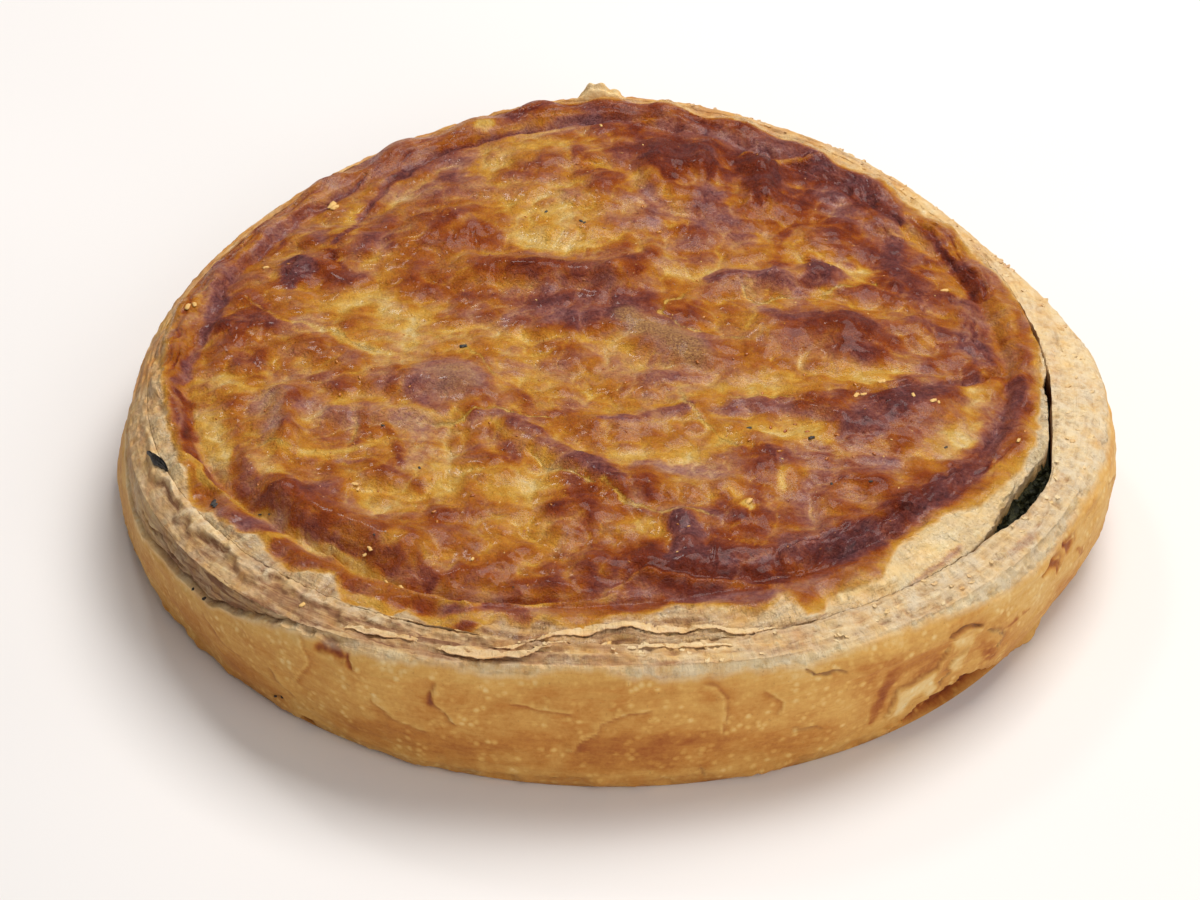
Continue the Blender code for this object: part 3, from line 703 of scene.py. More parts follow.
leaf_patches = noise(tree, places(tree), 600, 4, 0.7, 1.0)
leaf_colour = colour_scale(tree, leaf_patches, ((0.3, (16, 17, 9)), (0.5, (36, 38, 18)), (0.7, (74, 70, 36))))
cover(tree, shader, leaf_colour, (leaf_patches, 0.8, 0.0008))
filling = baked_piece("leafy_filling", fill_points, faces, greens, "greens")
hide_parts("filling")
fill_tree = BVHTree.FromPolygons(fill_points.tolist(), faces)


def settled_spot(radius, angle, height):
    """One place of the round pie carried to the real one, as x, y, z in mm."""
    return [float(c[0]) for c in settle(*(np.array([value]) for value in (radius, angle, height)))]


def drop_to(tree, x, y, top=80.0):
    """The height of a surface below x, y, in mm."""
    hit = tree.ray_cast(Vector((float(x), float(y), top)), Vector((0, 0, -1)))[0]
    return hit.z if hit else 0.0


def closed_sheet(top, thickness):
    """Points and faces of a thin closed sheet under a grid of top points."""
    across, along = top.shape[:2]
    both = np.concatenate([top.reshape(-1, 3), (top - (0, 0, thickness)).reshape(-1, 3)])
    upper = np.arange(across * along).reshape(across, along)
    lower = upper + across * along
    made = []
    for a in range(across - 1):
        for b in range(along - 1):
            made.append((upper[a, b], upper[a + 1, b], upper[a + 1, b + 1], upper[a, b + 1]))
            made.append((lower[a, b], lower[a, b + 1], lower[a + 1, b + 1], lower[a + 1, b]))
    rim = list(upper[0]) + list(upper[1:, -1]) + list(upper[-1, -2::-1]) + list(upper[-2:0:-1, 0])
    for first, second in zip(rim, rim[1:] + rim[:1]):
        made.append((first, second, second + across * along, first + across * along))
    return both, [tuple(int(k) for k in face) for face in made]


PETAL_THICKNESS = 0.22


def petal(spot, length, breadth, heading, curl, lean, number):
    """A small curled leaf or flake of a length and breadth in mm, as points and faces."""
    s, t = np.meshgrid(np.linspace(-1, 1, 6), np.linspace(-1, 1, 4), indexing="ij")
    outline = breadth * np.sqrt(np.clip(1 - 0.9 * s * s, 0.02, 1)) * t * (1 + 0.25 * np.sin(5 * s + number))
    a = spot[0] + length * 0.5 * s * math.cos(heading) - 0.5 * outline * math.sin(heading)
    b = spot[1] + length * 0.5 * s * math.sin(heading) + 0.5 * outline * math.cos(heading)
    c = spot[2] + curl * (0.6 * s * s + 0.5 * t * t) + lean * s + 0.1 * breadth * np.sin(4 * t + 3 * s)
    return closed_sheet(np.stack([a, b, c], -1), PETAL_THICKNESS)


def gather(pieces):
    """Many small pieces of points and faces joined into one."""
    points, faces, base = [], [], 0
    for lump, lump_faces in pieces:
        points.append(lump)
        faces += [tuple(base + k for k in face) for face in lump_faces]
        base += len(lump)
    return np.concatenate(points), faces


LEAF_COUNT, LEAF_SEED = 70, 52
draw = np.random.default_rng(LEAF_SEED)
leaves = []
for number in range(LEAF_COUNT):
    leaf_angle = math.radians(SPLIT_MIDDLE + draw.uniform(-9.5, 9.5))
    room = float(split(np.array([leaf_angle]))[0])
    spot = settled_spot(SEAM_RADIUS + draw.uniform(-0.8, 0.8) * room, leaf_angle, FILLING_HEIGHT)
    spot[2] = drop_to(fill_tree, spot[0], spot[1]) + 0.2
    leaves.append(petal(spot, draw.uniform(1.2, 2.8), draw.uniform(0.6, 1.4), draw.uniform(0, 2 * math.pi),
                        draw.uniform(0.3, 1.5), draw.uniform(-0.5, 0.5), number))
baked_piece("curled_leaves", *gather(leaves), greens, "greens")


# The lid: a sheet of the same dough, brushed with egg and baked brown. It lies on the filling and is folded
# over into a border that a groove sets off. Steam blew it up in places, so what stood high is darkest, the
# hollows stayed golden, and the glaze cracked cream along the creases.
FOLDS = (  # from x, y to x, y, half width and height in mm
    (-94, -55, -85, -68, 7, 2.6), (-82, -73, -50, -93, 7.5, 4.4), (-87, -24, -84, -48, 5, 3.0),
    (-72, -33, -28, -36, 5, 1.8), (0, -39, 25, -32, 4, 1.6), (-22, -42, 6, -66, 5, 2.4),
    (-46, -20, -36, -20, 10, 3.4), (10, 9, 26, -3, 9, 2.6), (-38, 38, 4, 30, 6.5, 3.6),
    (4, 30, 14, 41, 6, 2.8), (-66, 52, -46, 62, 12, 2.2), (-89, 42, -89, 42, 6.5, 2.6),
    (50, 9, 66, 8, 10, 3.6), (74, 10, 88, 14, 9, 2.4), (36, 35, 50, 36, 4.5, 2.2), (52, 34, 65, 40, 4.5, 2.4),
    (15, 80, 17, 100, 4.5, 2.6), (30, 90, 33, 108, 5, 3.0), (48, 76, 48, 97, 5, 3.4),
    (64, 99, 84, 72, 6.5, 2.6), (104, 4, 107, 32, 5, 1.6), (70, -32, 90, -26, 10, 2.2),
    (84, -74, 108, -42, 5.5, 2.4), (56, -88, 78, -76, 6.5, 3.0), (24, -80, 26, -97, 6, 3.0),
    (36, -92, 48, -90, 6, 1.8), (0, -98, 14, -99, 6, 2.6), (14, -66, 34, -65, 7, 1.8),
)
RIDGES = (  # thin edges and creases: height in mm, then points of x, y and half width
    (0.9, ((-113, -50, 0.9), (-104, -63, 0.9), (-96, -72, 0.9), (-86, -80, 1.0), (-76, -88, 1.0),
           (-66, -96, 1.0))),
    (0.9, ((-66, -96, 1.0), (-56, -103, 1.1), (-48, -108, 1.1), (-40, -112, 1.1), (-32, -114, 1.1))),
    (0.9, ((-32, -114, 1.1), (-20, -113, 1.0), (-8, -111.5, 0.9), (0, -110.5, 0.9), (8, -108, 0.8))),
    (-1.3, ((-108, -52, 1.6), (-99, -65, 1.8), (-90, -75, 1.8), (-79, -84, 1.8), (-68, -93, 1.8),
            (-57, -100, 1.8))),
    (-1.1, ((-57, -100, 1.8), (-46, -106, 1.6), (-36, -110, 1.5), (-20, -110, 1.4), (0, -108.5, 1.2))),
    (1.0, ((4, -107.5, 0.9), (14, -103.5, 1.0), (26, -101.8, 1.0), (38, -101.3, 1.0), (49, -103.5, 0.9))),
    (-0.9, ((12, -101, 1.2), (28, -99.4, 1.2), (42, -99, 1.2))),
    (-0.6, ((-45, -38, 0.9), (-35, -36.5, 0.8), (-27, -34.5, 0.8), (-21, -37, 0.8), (-8, -37.5, 0.8))),
    (0.9, ((-84, -26, 1.6), (-83.5, -36, 1.8), (-83, -46, 1.2))),
    (-0.7, ((-20, -51, 0.7), (-14, -57, 0.8), (-6, -62, 0.8), (2, -68, 0.8), (8, -74, 0.8))),
    (-0.6, ((-38, 56, 0.7), (-36, 48, 0.8), (-33.5, 41, 0.9), (-31, 31, 0.8), (-29, 22, 0.8),
            (-20, 11, 0.6))),
    (-1.0, ((-80, 52, 0.7), (-78.5, 46, 0.8), (-76, 40, 0.8), (-73, 37, 0.6))),
    (-0.8, ((-85, 44, 0.6), (-79, 47, 0.7), (-77, 55, 0.7), (-72, 66, 0.8), (-68, 76, 0.8))),
    (-1.2, ((-68, 76, 0.9), (-64, 87, 1.1), (-58, 96, 1.1), (-50, 102, 1.1), (-40, 108, 1.2),
            (-25, 112.5, 1.2))),
    (-1.2, ((-25, 112.5, 1.2), (-10, 115, 1.2), (5, 117.5, 1.1), (20, 118, 0.9))),
    (-1.1, ((-113, 5, 1.0), (-111, 20, 1.2), (-109, 34, 1.2), (-104, 48, 1.2), (-98, 60, 1.2),
            (-90, 72, 1.2))),
    (-1.0, ((-90, 72, 1.2), (-82, 82, 1.0), (-72, 92, 0.9))),
    (-1.1, ((70, -20.5, 0.9), (80, -19.5, 1.1), (88, -15.5, 1.1), (96, -11, 1.1), (104, -7.5, 1.1),
            (112, -2.5, 0.9))),
    (0.9, ((72, -16, 1.6), (84, -14, 1.8), (94, -8, 1.8), (104, -4, 1.8), (112, 1, 1.4))),
    (0.8, ((43, 100, 1.2), (52, 100.5, 1.3), (60, 102, 1.2), (67, 104, 1.0))),
    (-0.9, ((41, 33, 0.7), (43, 27, 0.8), (47, 23, 0.8), (51, 26, 0.8), (58, 28.5, 0.8), (65, 29, 0.7))),
    (-0.7, ((27, 29, 0.7), (20, 23, 0.8), (18, 17, 0.8), (24, 10, 0.7), (36, 5, 0.6))),
    (-0.7, ((64, 28, 0.7), (70, 31.5, 0.7), (80, 38.5, 0.7), (83, 36, 0.6))),
    (-0.6, ((-90, 14, 0.7), (-82, 11, 0.9), (-76, 7, 1.0), (-72, -2, 0.9), (-60, -4, 0.8))),
    (0.7, ((31.5, -80, 0.7), (31.5, -90, 0.8), (31, -99, 0.6))),
    (0.7, ((34, -26, 1.2), (46, -25, 1.6), (57, -27, 1.2), (68, -33, 0.9))),
    (0.8, ((-97, -47, 1.2), (-93, -44.5, 1.3), (-88, -43.5, 1.0))),
    (0.6, ((-65, -37, 1.0), (-64, -48, 1.0))),
    (0.6, ((-57, -40, 1.0), (-52, -50, 1.1), (-50, -58, 0.8))),
    (-1.0, ((-88.5, 47, 0.7), (-90.5, 37, 0.7))),
)
WRINKLES = (  # bands of fine wrinkles: half width, spacing and height in mm, then the points they run along
    (6, 2.3, 0.5, ((-84, 92), (-101, 72), (-112, 48), (-118, 22), (-120, 0), (-120, -22), (-117, -40))),
    (6, 2.0, 0.5, ((104, 34), (107, 16), (107, 0))),
    (7, 2.6, 0.7, ((62, 100), (76, 90), (87, 68))),
    (6.5, 2.9, 1.0, ((54, -93), (68, -85), (82, -72))),
    (6, 2.7, 0.6, ((80, -80), (91, -62), (104, -48), (112, -34))),
    (5, 2.0, 0.45, ((94, 74), (104, 58), (112, 38))),
    (4.5, 1.7, 0.35, ((-74, -86), (-60, -96), (-44, -105))),
    (7, 1.7, 0.25, ((72, -38), (82, -26), (100, -10))),
    (9, 3.4, 0.4, ((26, 112), (30, 88))), (9, 3.0, 0.35, ((46, 104), (48, 74))),
    (5, 2.0, 0.35, ((-28, 122), (0, 124), (40, 117))),
    (5, 2.2, 0.3, ((-96, 20), (-98, 0), (-92, -14))),
    (4, 1.8, 0.3, ((-72, 88), (-60, 103), (-44, 112))),
    (6, 1.9, 0.3, ((30, 78), (34, 60))), (6, 2.2, 0.3, ((82, 62), (88, 40), (92, 12))),
)
TONES = {  # how brown, and how much painted sheen: a dull purplish grey standing in for reflected light
    "cream": (0.05, 0), "straw": (0.20, 0), "gold": (0.34, 0), "amber": (0.46, 0), "copper": (0.57, 0.05),
    "rust": (0.66, 0.1), "chestnut": (0.74, 0.15), "mahogany": (0.83, 0.08), "mauve": (0.66, 0.7),
    "plum": (0.78, 0.6), "slate": (0.88, 0.7),
}
BROWNED = (  # how much browner the oven made it: x, y and radius in mm
    (0.09, 20, 102, 24), (0.12, 62, 98, 24), (0.12, 60, 60, 22), (0.12, 22, -102, 24), (0.08, 62, -96, 22),
    (0.04, 95, -10, 24), (0.03, 60, -20, 20), (-0.16, -102, -58, 24), (-0.12, -62, -100, 24),
    (-0.05, -60, 20, 24), (-0.06, -20, -20, 30), (-0.05, 20, 0, 24), (0.05, -60, 100, 20),
    (-0.1, 100, 20, 22), (-0.06, -100, -20, 24), (-0.05, -60, -20, 24), (-0.03, -100, 50, 24),
    (-0.06, -10, -62, 24), (-0.06, 28, -62, 24), (-0.03, 62, -58, 22), (0.02, 96, -62, 18),
)
BROWN_EDGE = (  # where the brown ends, as degrees and radius
    (0, 125), (12, 128), (22, 125.5), (35, 124.5), (50, 124), (60, 125.5), (75, 126), (90, 127.5), (100, 131),
    (165, 131), (175, 124), (185, 122.5), (200, 123), (208, 125), (214, 129.5), (217, 126.5), (219.5, 128),
    (222.5, 127), (224.5, 122.8), (229, 127), (232, 128), (235.5, 125.6), (237.3, 123.3), (240.8, 130.4),
    (244, 128.5), (246.5, 129.5), (248, 125.3), (251, 128), (254, 130.9), (256.3, 129.6), (259, 121),
    (262.6, 123.5), (264.2, 120.3), (268.6, 123.6), (271, 120.3), (274, 118.5), (278, 118), (281, 112.8),
    (284, 117), (287, 118), (289, 120), (292, 122.8), (294.4, 119.5), (296, 127.8), (298.5, 127),
    (300, 122.5), (304, 124), (307, 126), (311, 120), (313.4, 117), (318, 116.8), (323, 117.8), (327, 122.5),
    (331, 124.3), (338, 125.3), (342, 126.6), (349, 124.8), (355, 125.1),
)
# Marks on the lid, each laid over those before it: a tone, how strongly and with how firm an edge, then the
# points they run through as x, y and half width in mm
LID_MARKS = (
    # back
    ("gold", 0.8, 2, ((-32, 97, 6), (-20, 98, 7), (-12, 96, 5))),
    ("straw", 0.7, 2, ((-31, 98, 3), (-20, 101, 3))),
    ("copper", 0.8, 2, ((-30, 87, 3), (-20, 85, 4), (-9, 83, 4))),
    ("rust", 0.7, 2, ((-8, 98, 3), (-6, 90, 3), (-4, 84, 3))),
    ("rust", 0.8, 2, ((-14, 107, 4), (0, 103, 5), (6, 96, 4))),
    ("gold", 0.7, 2, ((-38, 80, 4), (-22, 76, 5), (-6, 77, 4))),
    ("gold", 0.9, 3, ((-22, 68, 7), (-15, 58, 12), (-8, 52, 10), (-2, 66, 6))),
    ("straw", 0.8, 2, ((-22, 55, 5), (-14, 52, 6), (-6, 50, 5), (-14, 64, 5))),
    ("amber", 0.5, 2, ((-20, 62, 2), (-8, 58, 2))),
    ("mauve", 0.85, 2, ((-50, 98, 5), (-42, 103, 4), (-46, 90, 5), (-54, 84, 4))),
    ("plum", 0.6, 2, ((-46, 89, 3),)),
    ("mauve", 0.6, 2, ((-60, 80, 4), (-50, 77, 3), (-40, 73, 2))),
    ("rust", 0.8, 2, ((-50, 70, 4), (-38, 66, 3))),
    ("chestnut", 0.85, 2, ((-66, 71, 5), (-66, 60, 7), (-63, 50, 6))),
    ("plum", 0.7, 2, ((-66, 58, 4), (-63, 50, 4))),
    ("rust", 0.8, 2, ((-55, 62, 5), (-46, 56, 5), (-42, 62, 3))),
    ("rust", 0.8, 3, ((-33, 53, 4), (-30, 48, 3))),
    ("gold", 0.6, 2, ((-47, 52, 2), (-41, 58, 2))),
    ("copper", 0.9, 2, ((-62, 44, 5), (-50, 42, 6), (-42, 42, 5))),
    ("mahogany", 0.95, 3, ((-36, 38, 4), (-27, 35, 6), (-12, 32, 6.5), (0, 29.5, 6), (7, 33, 5),
                           (13, 41, 3.5))),
    ("rust", 0.5, 3, ((-36, 40, 5), (-27, 41, 3), (-12, 38, 2.5), (-2, 36, 2))),
    ("plum", 0.8, 2, ((-26, 23, 4), (-12, 21, 4.5), (4, 21, 5), (14, 25, 3))),
    ("mauve", 0.7, 2, ((-20, 14, 5), (-6, 12, 6), (6, 14, 4))),
    ("rust", 0.6, 2, ((-44, 28, 4), (-36, 24, 4))),
    ("mauve", 0.6, 2, ((-42, 16, 3), (-34, 14, 5), (-27, 10, 4))),
    ("gold", 0.8, 2, ((-72, 24, 5), (-60, 22, 7), (-50, 15, 6))),
    ("straw", 0.5, 2, ((-60, 20, 3), (-52, 14, 3))),
    ("straw", 0.7, 2, ((-14, 4, 3), (-4, 2, 3))),
    # back right
    ("mahogany", 0.7, 3, ((18, 98, 14), (50, 92, 16), (74, 84, 12))),
    ("chestnut", 0.8, 2, ((85, 52, 8), (98, 30, 9), (106, 5, 9), (108, -20, 6))),
    ("chestnut", 0.85, 2, ((0, 111, 5), (10, 112, 5), (16, 104, 4))),
    ("mahogany", 0.8, 2, ((8, 113, 3), (11, 107, 3))),
    ("rust", 0.8, 2, ((4, 103, 5), (8, 90, 5))),
    ("mahogany", 0.9, 3, ((14, 96, 2.5), (16, 88, 4), (18, 81, 2.5))),
    ("mahogany", 1.0, 4, ((24, 106, 4), (29, 97, 7), (36, 92, 6), (40, 100, 5))),
    ("mahogany", 0.95, 4, ((47, 97, 4.5), (49, 88, 5), (48, 79, 4))),
    ("copper", 0.8, 3, ((21, 84, 2), (28, 85, 2.5), (33, 84, 2))),
    ("copper", 0.9, 3, ((40.5, 88, 1.8), (41, 78, 1.8))),
    ("copper", 0.8, 2, ((55, 92, 2), (56, 78, 2.5), (52, 73, 2))),
    ("mahogany", 0.9, 3, ((58, 98, 3), (63, 95, 4), (70, 99, 3))),
    ("mauve", 0.9, 2, ((20, 115, 3), (32, 112, 4), (44, 107, 5), (56, 105.5, 4), (63, 104, 2))),
    ("mauve", 0.7, 2, ((27, 110, 1.5), (32, 102, 1.5), (34, 96, 1))),
    ("gold", 0.8, 3, ((43, 100, 0.9), (52, 100.5, 1.0), (60, 102, 1.0), (66, 104, 0.8))),
    ("plum", 0.9, 2, ((66, 98, 5), (77, 89, 6), (84, 80, 5), (87, 70, 3))),
    ("mauve", 0.9, 2, ((67, 84, 5), (73, 72, 5))),
    ("rust", 0.8, 2, ((58, 84, 3), (62, 74, 4))),
    ("mauve", 0.9, 2, ((33, 80, 4), (33, 70, 7), (36, 60, 8), (28, 52, 6))),
    ("plum", 0.6, 2, ((34, 77, 3), (30, 66, 3), (42, 58, 4))),
    ("mauve", 0.8, 2, ((12, 74, 3), (16, 66, 5), (14, 60, 3))),
    ("gold", 0.7, 2, ((18, 75, 2), (22, 70, 2.5))),
    ("chestnut", 0.7, 2, ((15, 55, 2), (25, 57, 2.5), (36, 55, 2.5))),
    ("rust", 0.7, 2, ((18, 48, 6), (34, 46, 6))),
    ("copper", 0.8, 2, ((6, 52, 3), (14, 46, 4))),
    ("gold", 0.8, 2, ((24, 36, 5), (32, 38, 3))),
    ("gold", 0.9, 3, ((62, 61, 6), (58, 52, 5), (64, 52, 5))),
    ("rust", 0.8, 3, ((53, 43, 1.5), (53, 53, 1.5), (56, 62, 1.5), (62, 68, 1.8))),
    ("straw", 0.85, 2, ((66, 47, 2), (73, 44, 3), (77, 47, 3), (75, 38, 2.5), (70, 34, 2))),
    ("copper", 0.7, 2, ((70, 60, 3), (74, 54, 3))),
    ("plum", 0.85, 2, ((84, 62, 4), (85, 52, 4.5), (88, 44, 3))),
    ("mahogany", 0.7, 2, ((80, 57, 1.5), (80, 48, 1.5))),
    ("chestnut", 0.7, 2, ((92, 52, 5), (94, 38, 5), (90, 28, 4))),
    ("rust", 0.9, 2, ((86, 36, 5), (84, 24, 7), (90, 12, 5))),
    ("copper", 0.8, 2, ((76, 26, 5), (72, 19, 4))),
    ("gold", 0.9, 3, ((89, 70, 1.6), (92, 63, 2.4), (97, 58, 2.0))),
    ("mahogany", 0.9, 3, ((94, 72, 1.8), (101, 60, 2.2), (106, 50, 2.2), (111, 38, 2))),
    ("amber", 0.8, 3, ((91, 76, 1.4), (99, 66, 1.2), (105, 56, 1.2))),
    ("copper", 0.8, 3, ((99, 55, 2), (103, 45, 2.4), (106, 38, 2))),
    ("plum", 0.95, 3, ((106, 31, 5), (107, 20, 6), (107, 8, 6), (109, 2, 3))),
    ("slate", 0.5, 2, ((108, 28, 3), (109, 10, 3))),
    ("chestnut", 0.9, 2, ((99, 30, 3), (98, 12, 4), (96, 0, 5))),
    ("mahogany", 0.8, 2, ((99, 14, 2.5), (97, 2, 3))),
    ("copper", 0.9, 2, ((118, 32, 3), (120, 18, 3), (121, 2, 3))),
    ("gold", 0.7, 2, ((118, 30, 2), (119, 20, 1.5))),
    # middle and right
    ("plum", 0.9, 3, ((10, 15, 8), (20, 5, 12), (29, -9, 8))),
    ("plum", 0.6, 2, ((29, -3, 2), (25, -11, 2), (20, -16, 1.5), (14, -9, 2))),
    ("grain", 0.9, 2, ((9, 12, 4), (18, 4, 7), (27, -6, 5))),
    ("copper", 1.0, 4, ((27, 20, 6.5), (37, 22, 6.5), (39, 13, 4.5), (31, 12, 4))),
    ("straw", 0.85, 3, ((28, 29.5, 0.8), (20, 23, 1.0), (18, 17, 1.1), (24, 10, 0.8), (36, 5, 0.7),
                        (44, 2, 0.7))),
    ("plum", 0.95, 3, ((34, 34, 2.5), (42, 38, 3.4), (50, 35, 3.6), (57, 32, 3), (62, 35, 3), (65, 40, 3),
                       (63, 46, 2.4))),
    ("cream", 0.9, 3, ((41, 32, 0.6), (43, 27, 0.8), (47, 24, 0.9), (51, 26, 0.9), (57, 28, 0.8),
                       (63, 28, 0.8))),
    ("straw", 0.9, 3, ((64, 28, 0.7), (67, 33, 0.8), (75, 34, 0.8), (80, 38.5, 0.7), (83, 36, 0.6))),
    ("gold", 0.8, 3, ((48, 24, 0.7), (44, 16, 0.7), (41, 10, 0.6))),
    ("plum", 0.9, 3, ((50, 15, 5), (57, 12, 8), (60, 8, 6))),
    ("mahogany", 0.9, 2, ((58, 6, 6), (68, 8, 6), (78, 9, 6), (86, 5, 5))),
    ("rust", 0.9, 2, ((52, 2, 3), (64, 0, 3), (78, -1, 4))),
    ("copper", 0.8, 2, ((66, 24, 3), (72, 18, 3))),
    ("straw", 0.9, 2, ((72, -9, 2.5), (78, -12, 2.5), (84, -6, 2), (74, -14, 2))),
    ("gold", 0.8, 2, ((66, -10, 4), (80, -8, 4))),
    ("gold", 0.9, 2, ((44, -14, 8), (60, -16, 8))),
    ("straw", 0.7, 2, ((48, -12, 3), (60, -20, 4), (44, -20, 3))),
    ("copper", 0.6, 2, ((50, -9, 2), (60, -7, 2))),
    ("copper", 0.7, 2, ((34, -10, 4), (36, 0, 3))),
    ("straw", 0.8, 3, ((38, -24.5, 0.8), (47, -23.5, 1.0), (55, -25, 0.8))),
    ("mauve", 0.95, 3, ((34, -29, 2), (44, -28, 3.2), (54, -28.5, 3.2), (64, -32, 2))),
    ("rust", 0.7, 3, ((55, -27, 1.5), (68, -34, 1.5))),
    ("gold", 0.9, 2, ((38, -40, 7), (52, -41, 8), (64, -43, 5))),
    ("straw", 0.7, 2, ((38, -43, 3), (46, -38, 3), (58, -42, 3))),
    ("straw", 0.8, 3, ((23, -18, 1.0), (24, -28, 1.2), (30, -36, 1.2), (36, -44, 1.2), (42, -48, 1.0))),
    ("plum", 0.95, 3, ((3, -38.5, 1.0), (11, -36.5, 1.8), (19, -33.5, 2.4), (26, -31, 2.0))),
    ("copper", 0.8, 2, ((6, -45, 5), (20, -45, 6))),
    ("gold", 0.7, 2, ((4, -54, 3), (20, -52, 3), (34, -50, 3))),
    ("mauve", 0.8, 2, ((10, -58, 2.5), (24, -57, 3), (36, -60, 3))),
    ("copper", 0.95, 3, ((10, -66, 4), (20, -67, 5), (32, -68, 4))),
    ("chestnut", 0.8, 2, ((14, -72, 1.5), (28, -73, 2), (36, -73, 2))),
    ("mahogany", 0.9, 3, ((34.5, -71, 2.4),)),
    ("rust", 0.85, 2, ((46, -54, 5), (44, -66, 6), (50, -74, 5))),
    ("mauve", 0.7, 2, ((50, -52, 4), (60, -48, 5), (66, -54, 4))),
    ("cream", 0.9, 4, ((40.5, -71, 1.5), (42, -73, 1.2))),
    ("straw", 0.7, 2, ((50, -57, 2.0), (49, -66, 1.0))),
    ("straw", 0.85, 3, ((0, -64, 0.9), (5, -71, 1.0), (9, -75, 1.1), (16, -76.5, 1.0), (26, -77, 1.0),
                        (36, -76.5, 0.8))),
    ("gold", 0.8, 2, ((3, -82, 4), (12, -84, 5), (19, -87, 3))),
    ("straw", 0.6, 2, ((8, -86, 2.5), (14, -82, 2.5))),
    # front right
    ("mahogany", 0.75, 2, ((20, -100, 8), (40, -96, 8), (60, -90, 8), (78, -78, 8), (90, -65, 8),
                           (105, -45, 7))),
    ("slate", 1.0, 5, ((22, -79, 2.5), (25, -86, 5.5), (25, -95, 5.5), (20, -101, 3.5))),
    ("mahogany", 0.95, 3, ((-1, -93, 4), (8, -97, 5), (16, -100, 4), (34, -99, 2))),
    ("mahogany", 0.8, 2, ((0, -105, 2.5), (10, -104, 2.5))),
    ("chestnut", 0.9, 3, ((34, -84, 3), (36, -94, 4), (48, -96, 4), (46, -84, 4))),
    ("copper", 0.7, 2, ((37, -83, 3), (44, -87, 2.5))),
    ("mauve", 0.8, 2, ((37, -96, 1.8), (48, -94, 2.0))),
    ("chestnut", 0.8, 2, ((50, -100, 3), (60, -97, 4), (66, -93, 3))),
    ("mauve", 0.8, 2, ((18, -75.5, 1.4), (30, -75, 1.6), (40, -77, 1.6))),
    ("slate", 0.95, 3, ((54, -87, 5), (62, -88, 6), (70, -84, 5.5), (79, -76, 4))),
    ("plum", 0.9, 2, ((58, -78, 4), (57, -68, 4), (62, -58, 5), (61, -48, 5))),
    ("plum", 0.8, 2, ((70, -50, 4), (78, -48, 4))),
    ("rust", 0.8, 2, ((66, -68, 4), (74, -72, 4), (72, -60, 3))),
    ("copper", 0.6, 2, ((74, -62, 1.5), (76, -54, 1.5))),
    ("plum", 0.95, 2, ((82, -78, 3), (90, -66, 4.5), (99, -54, 5.5), (107, -44, 4))),
    ("slate", 0.6, 2, ((86, -72, 2), (94, -60, 2.5), (101, -51, 2))),
    ("rust", 0.8, 2, ((86, -58, 4), (92, -52, 3))),
    ("copper", 0.6, 2, ((84, -53, 2), (94, -48, 2))),
    ("plum", 0.95, 3, ((70, -40, 5), (76, -31, 7), (86, -23, 6), (96, -14, 4), (105, -6, 3))),
    ("copper", 0.6, 2, ((84, -42, 3), (87, -50, 2.5), (92, -34, 2))),
    ("chestnut", 0.85, 2, ((86, -9, 4), (96, -5, 5), (104, -2, 3))),
    ("gold", 0.85, 2, ((110, -9, 3), (104, -20, 6), (100, -32, 5), (95, -41, 4))),
    ("straw", 0.6, 2, ((108, -12, 2), (100, -38, 3))),
    ("plum", 0.9, 2, ((116, -8, 3), (117, -20, 3), (112, -31, 4), (107, -39, 4))),
    ("rust", 0.7, 2, ((121, -6, 2), (120, -30, 2.5), (114, -45, 3))),
    ("copper", 0.9, 2, ((110, -50, 3), (103, -60, 3), (96, -69, 2))),
    ("gold", 0.6, 2, ((108, -46, 1), (105, -56, 1.2))),
    ("rust", 0.8, 2, ((88, -78, 2.5), (80, -86, 2.5), (70, -96, 2.5))),
    ("mauve", 0.9, 2, ((14, -109, 3), (28, -107.5, 3.5), (40, -107, 4), (47, -109, 3.5))),
    ("rust", 0.8, 2, ((4, -112, 3.5), (10, -114, 3), (22, -111, 3))),
    ("gold", 0.8, 3, ((52, -108, 2), (53, -114, 2.5))),
    ("copper", 0.9, 3, ((57, -111, 1.8), (60, -106, 2.2), (66, -101, 2))),
    ("copper", 0.95, 4, ((4, -108, 0.9), (14, -103.7, 1.1), (26, -101.8, 1.1), (38, -101.2, 1.1),
                         (49, -103.5, 1.0))),
    ("chestnut", 0.8, 3, ((12, -105.5, 1.0), (28, -103.8, 1.1), (44, -104, 1.1))),
    # left
    ("straw", 0.9, 3, ((-91, 14, 0.8), (-82, 11, 1.2), (-76, 8, 1.6), (-72, 1, 1.4), (-66, -3, 1.8),
                       (-59, -4, 1.2))),
    ("cream", 0.8, 3, ((-78, 9, 1.0), (-74, 5, 1.0), (-67, -3, 1.2), (-62, -3.5, 1.0))),
    ("rust", 0.8, 2, ((-97, 26, 3), (-99, 12, 4), (-99, 0, 4), (-95, -12, 3))),
    ("chestnut", 0.6, 2, ((-98, 2, 1.6), (-94, -10, 1.6))),
    ("rust", 0.7, 2, ((-92, 9, 3), (-88, 0, 3), (-86, -12, 3))),
    ("copper", 0.7, 2, ((-82, -2, 4), (-76, -10, 4))),
    ("straw", 0.5, 2, ((-104, 28, 1.2), (-96, 20, 1.2), (-91, 15, 1.0))),
    ("amber", 0.7, 2, ((-98, 46, 4), (-100, 34, 4), (-88, 26, 4))),
    ("slate", 1.0, 5, ((-89.5, 45, 4.2), (-88.5, 39, 5), (-90, 34, 2.4))),
    ("mauve", 0.6, 2, ((-87, 42, 2.2), (-88, 38, 2))),
    ("mahogany", 0.8, 3, ((-88.5, 47, 0.7), (-90.5, 37, 0.8))),
    ("chestnut", 0.85, 2, ((-84, 36, 3), (-76, 34, 4), (-68, 34, 2))),
    ("mahogany", 0.8, 3, ((-80, 52, 0.8), (-78.5, 46, 0.9), (-76, 40, 0.9), (-73, 37, 0.7))),
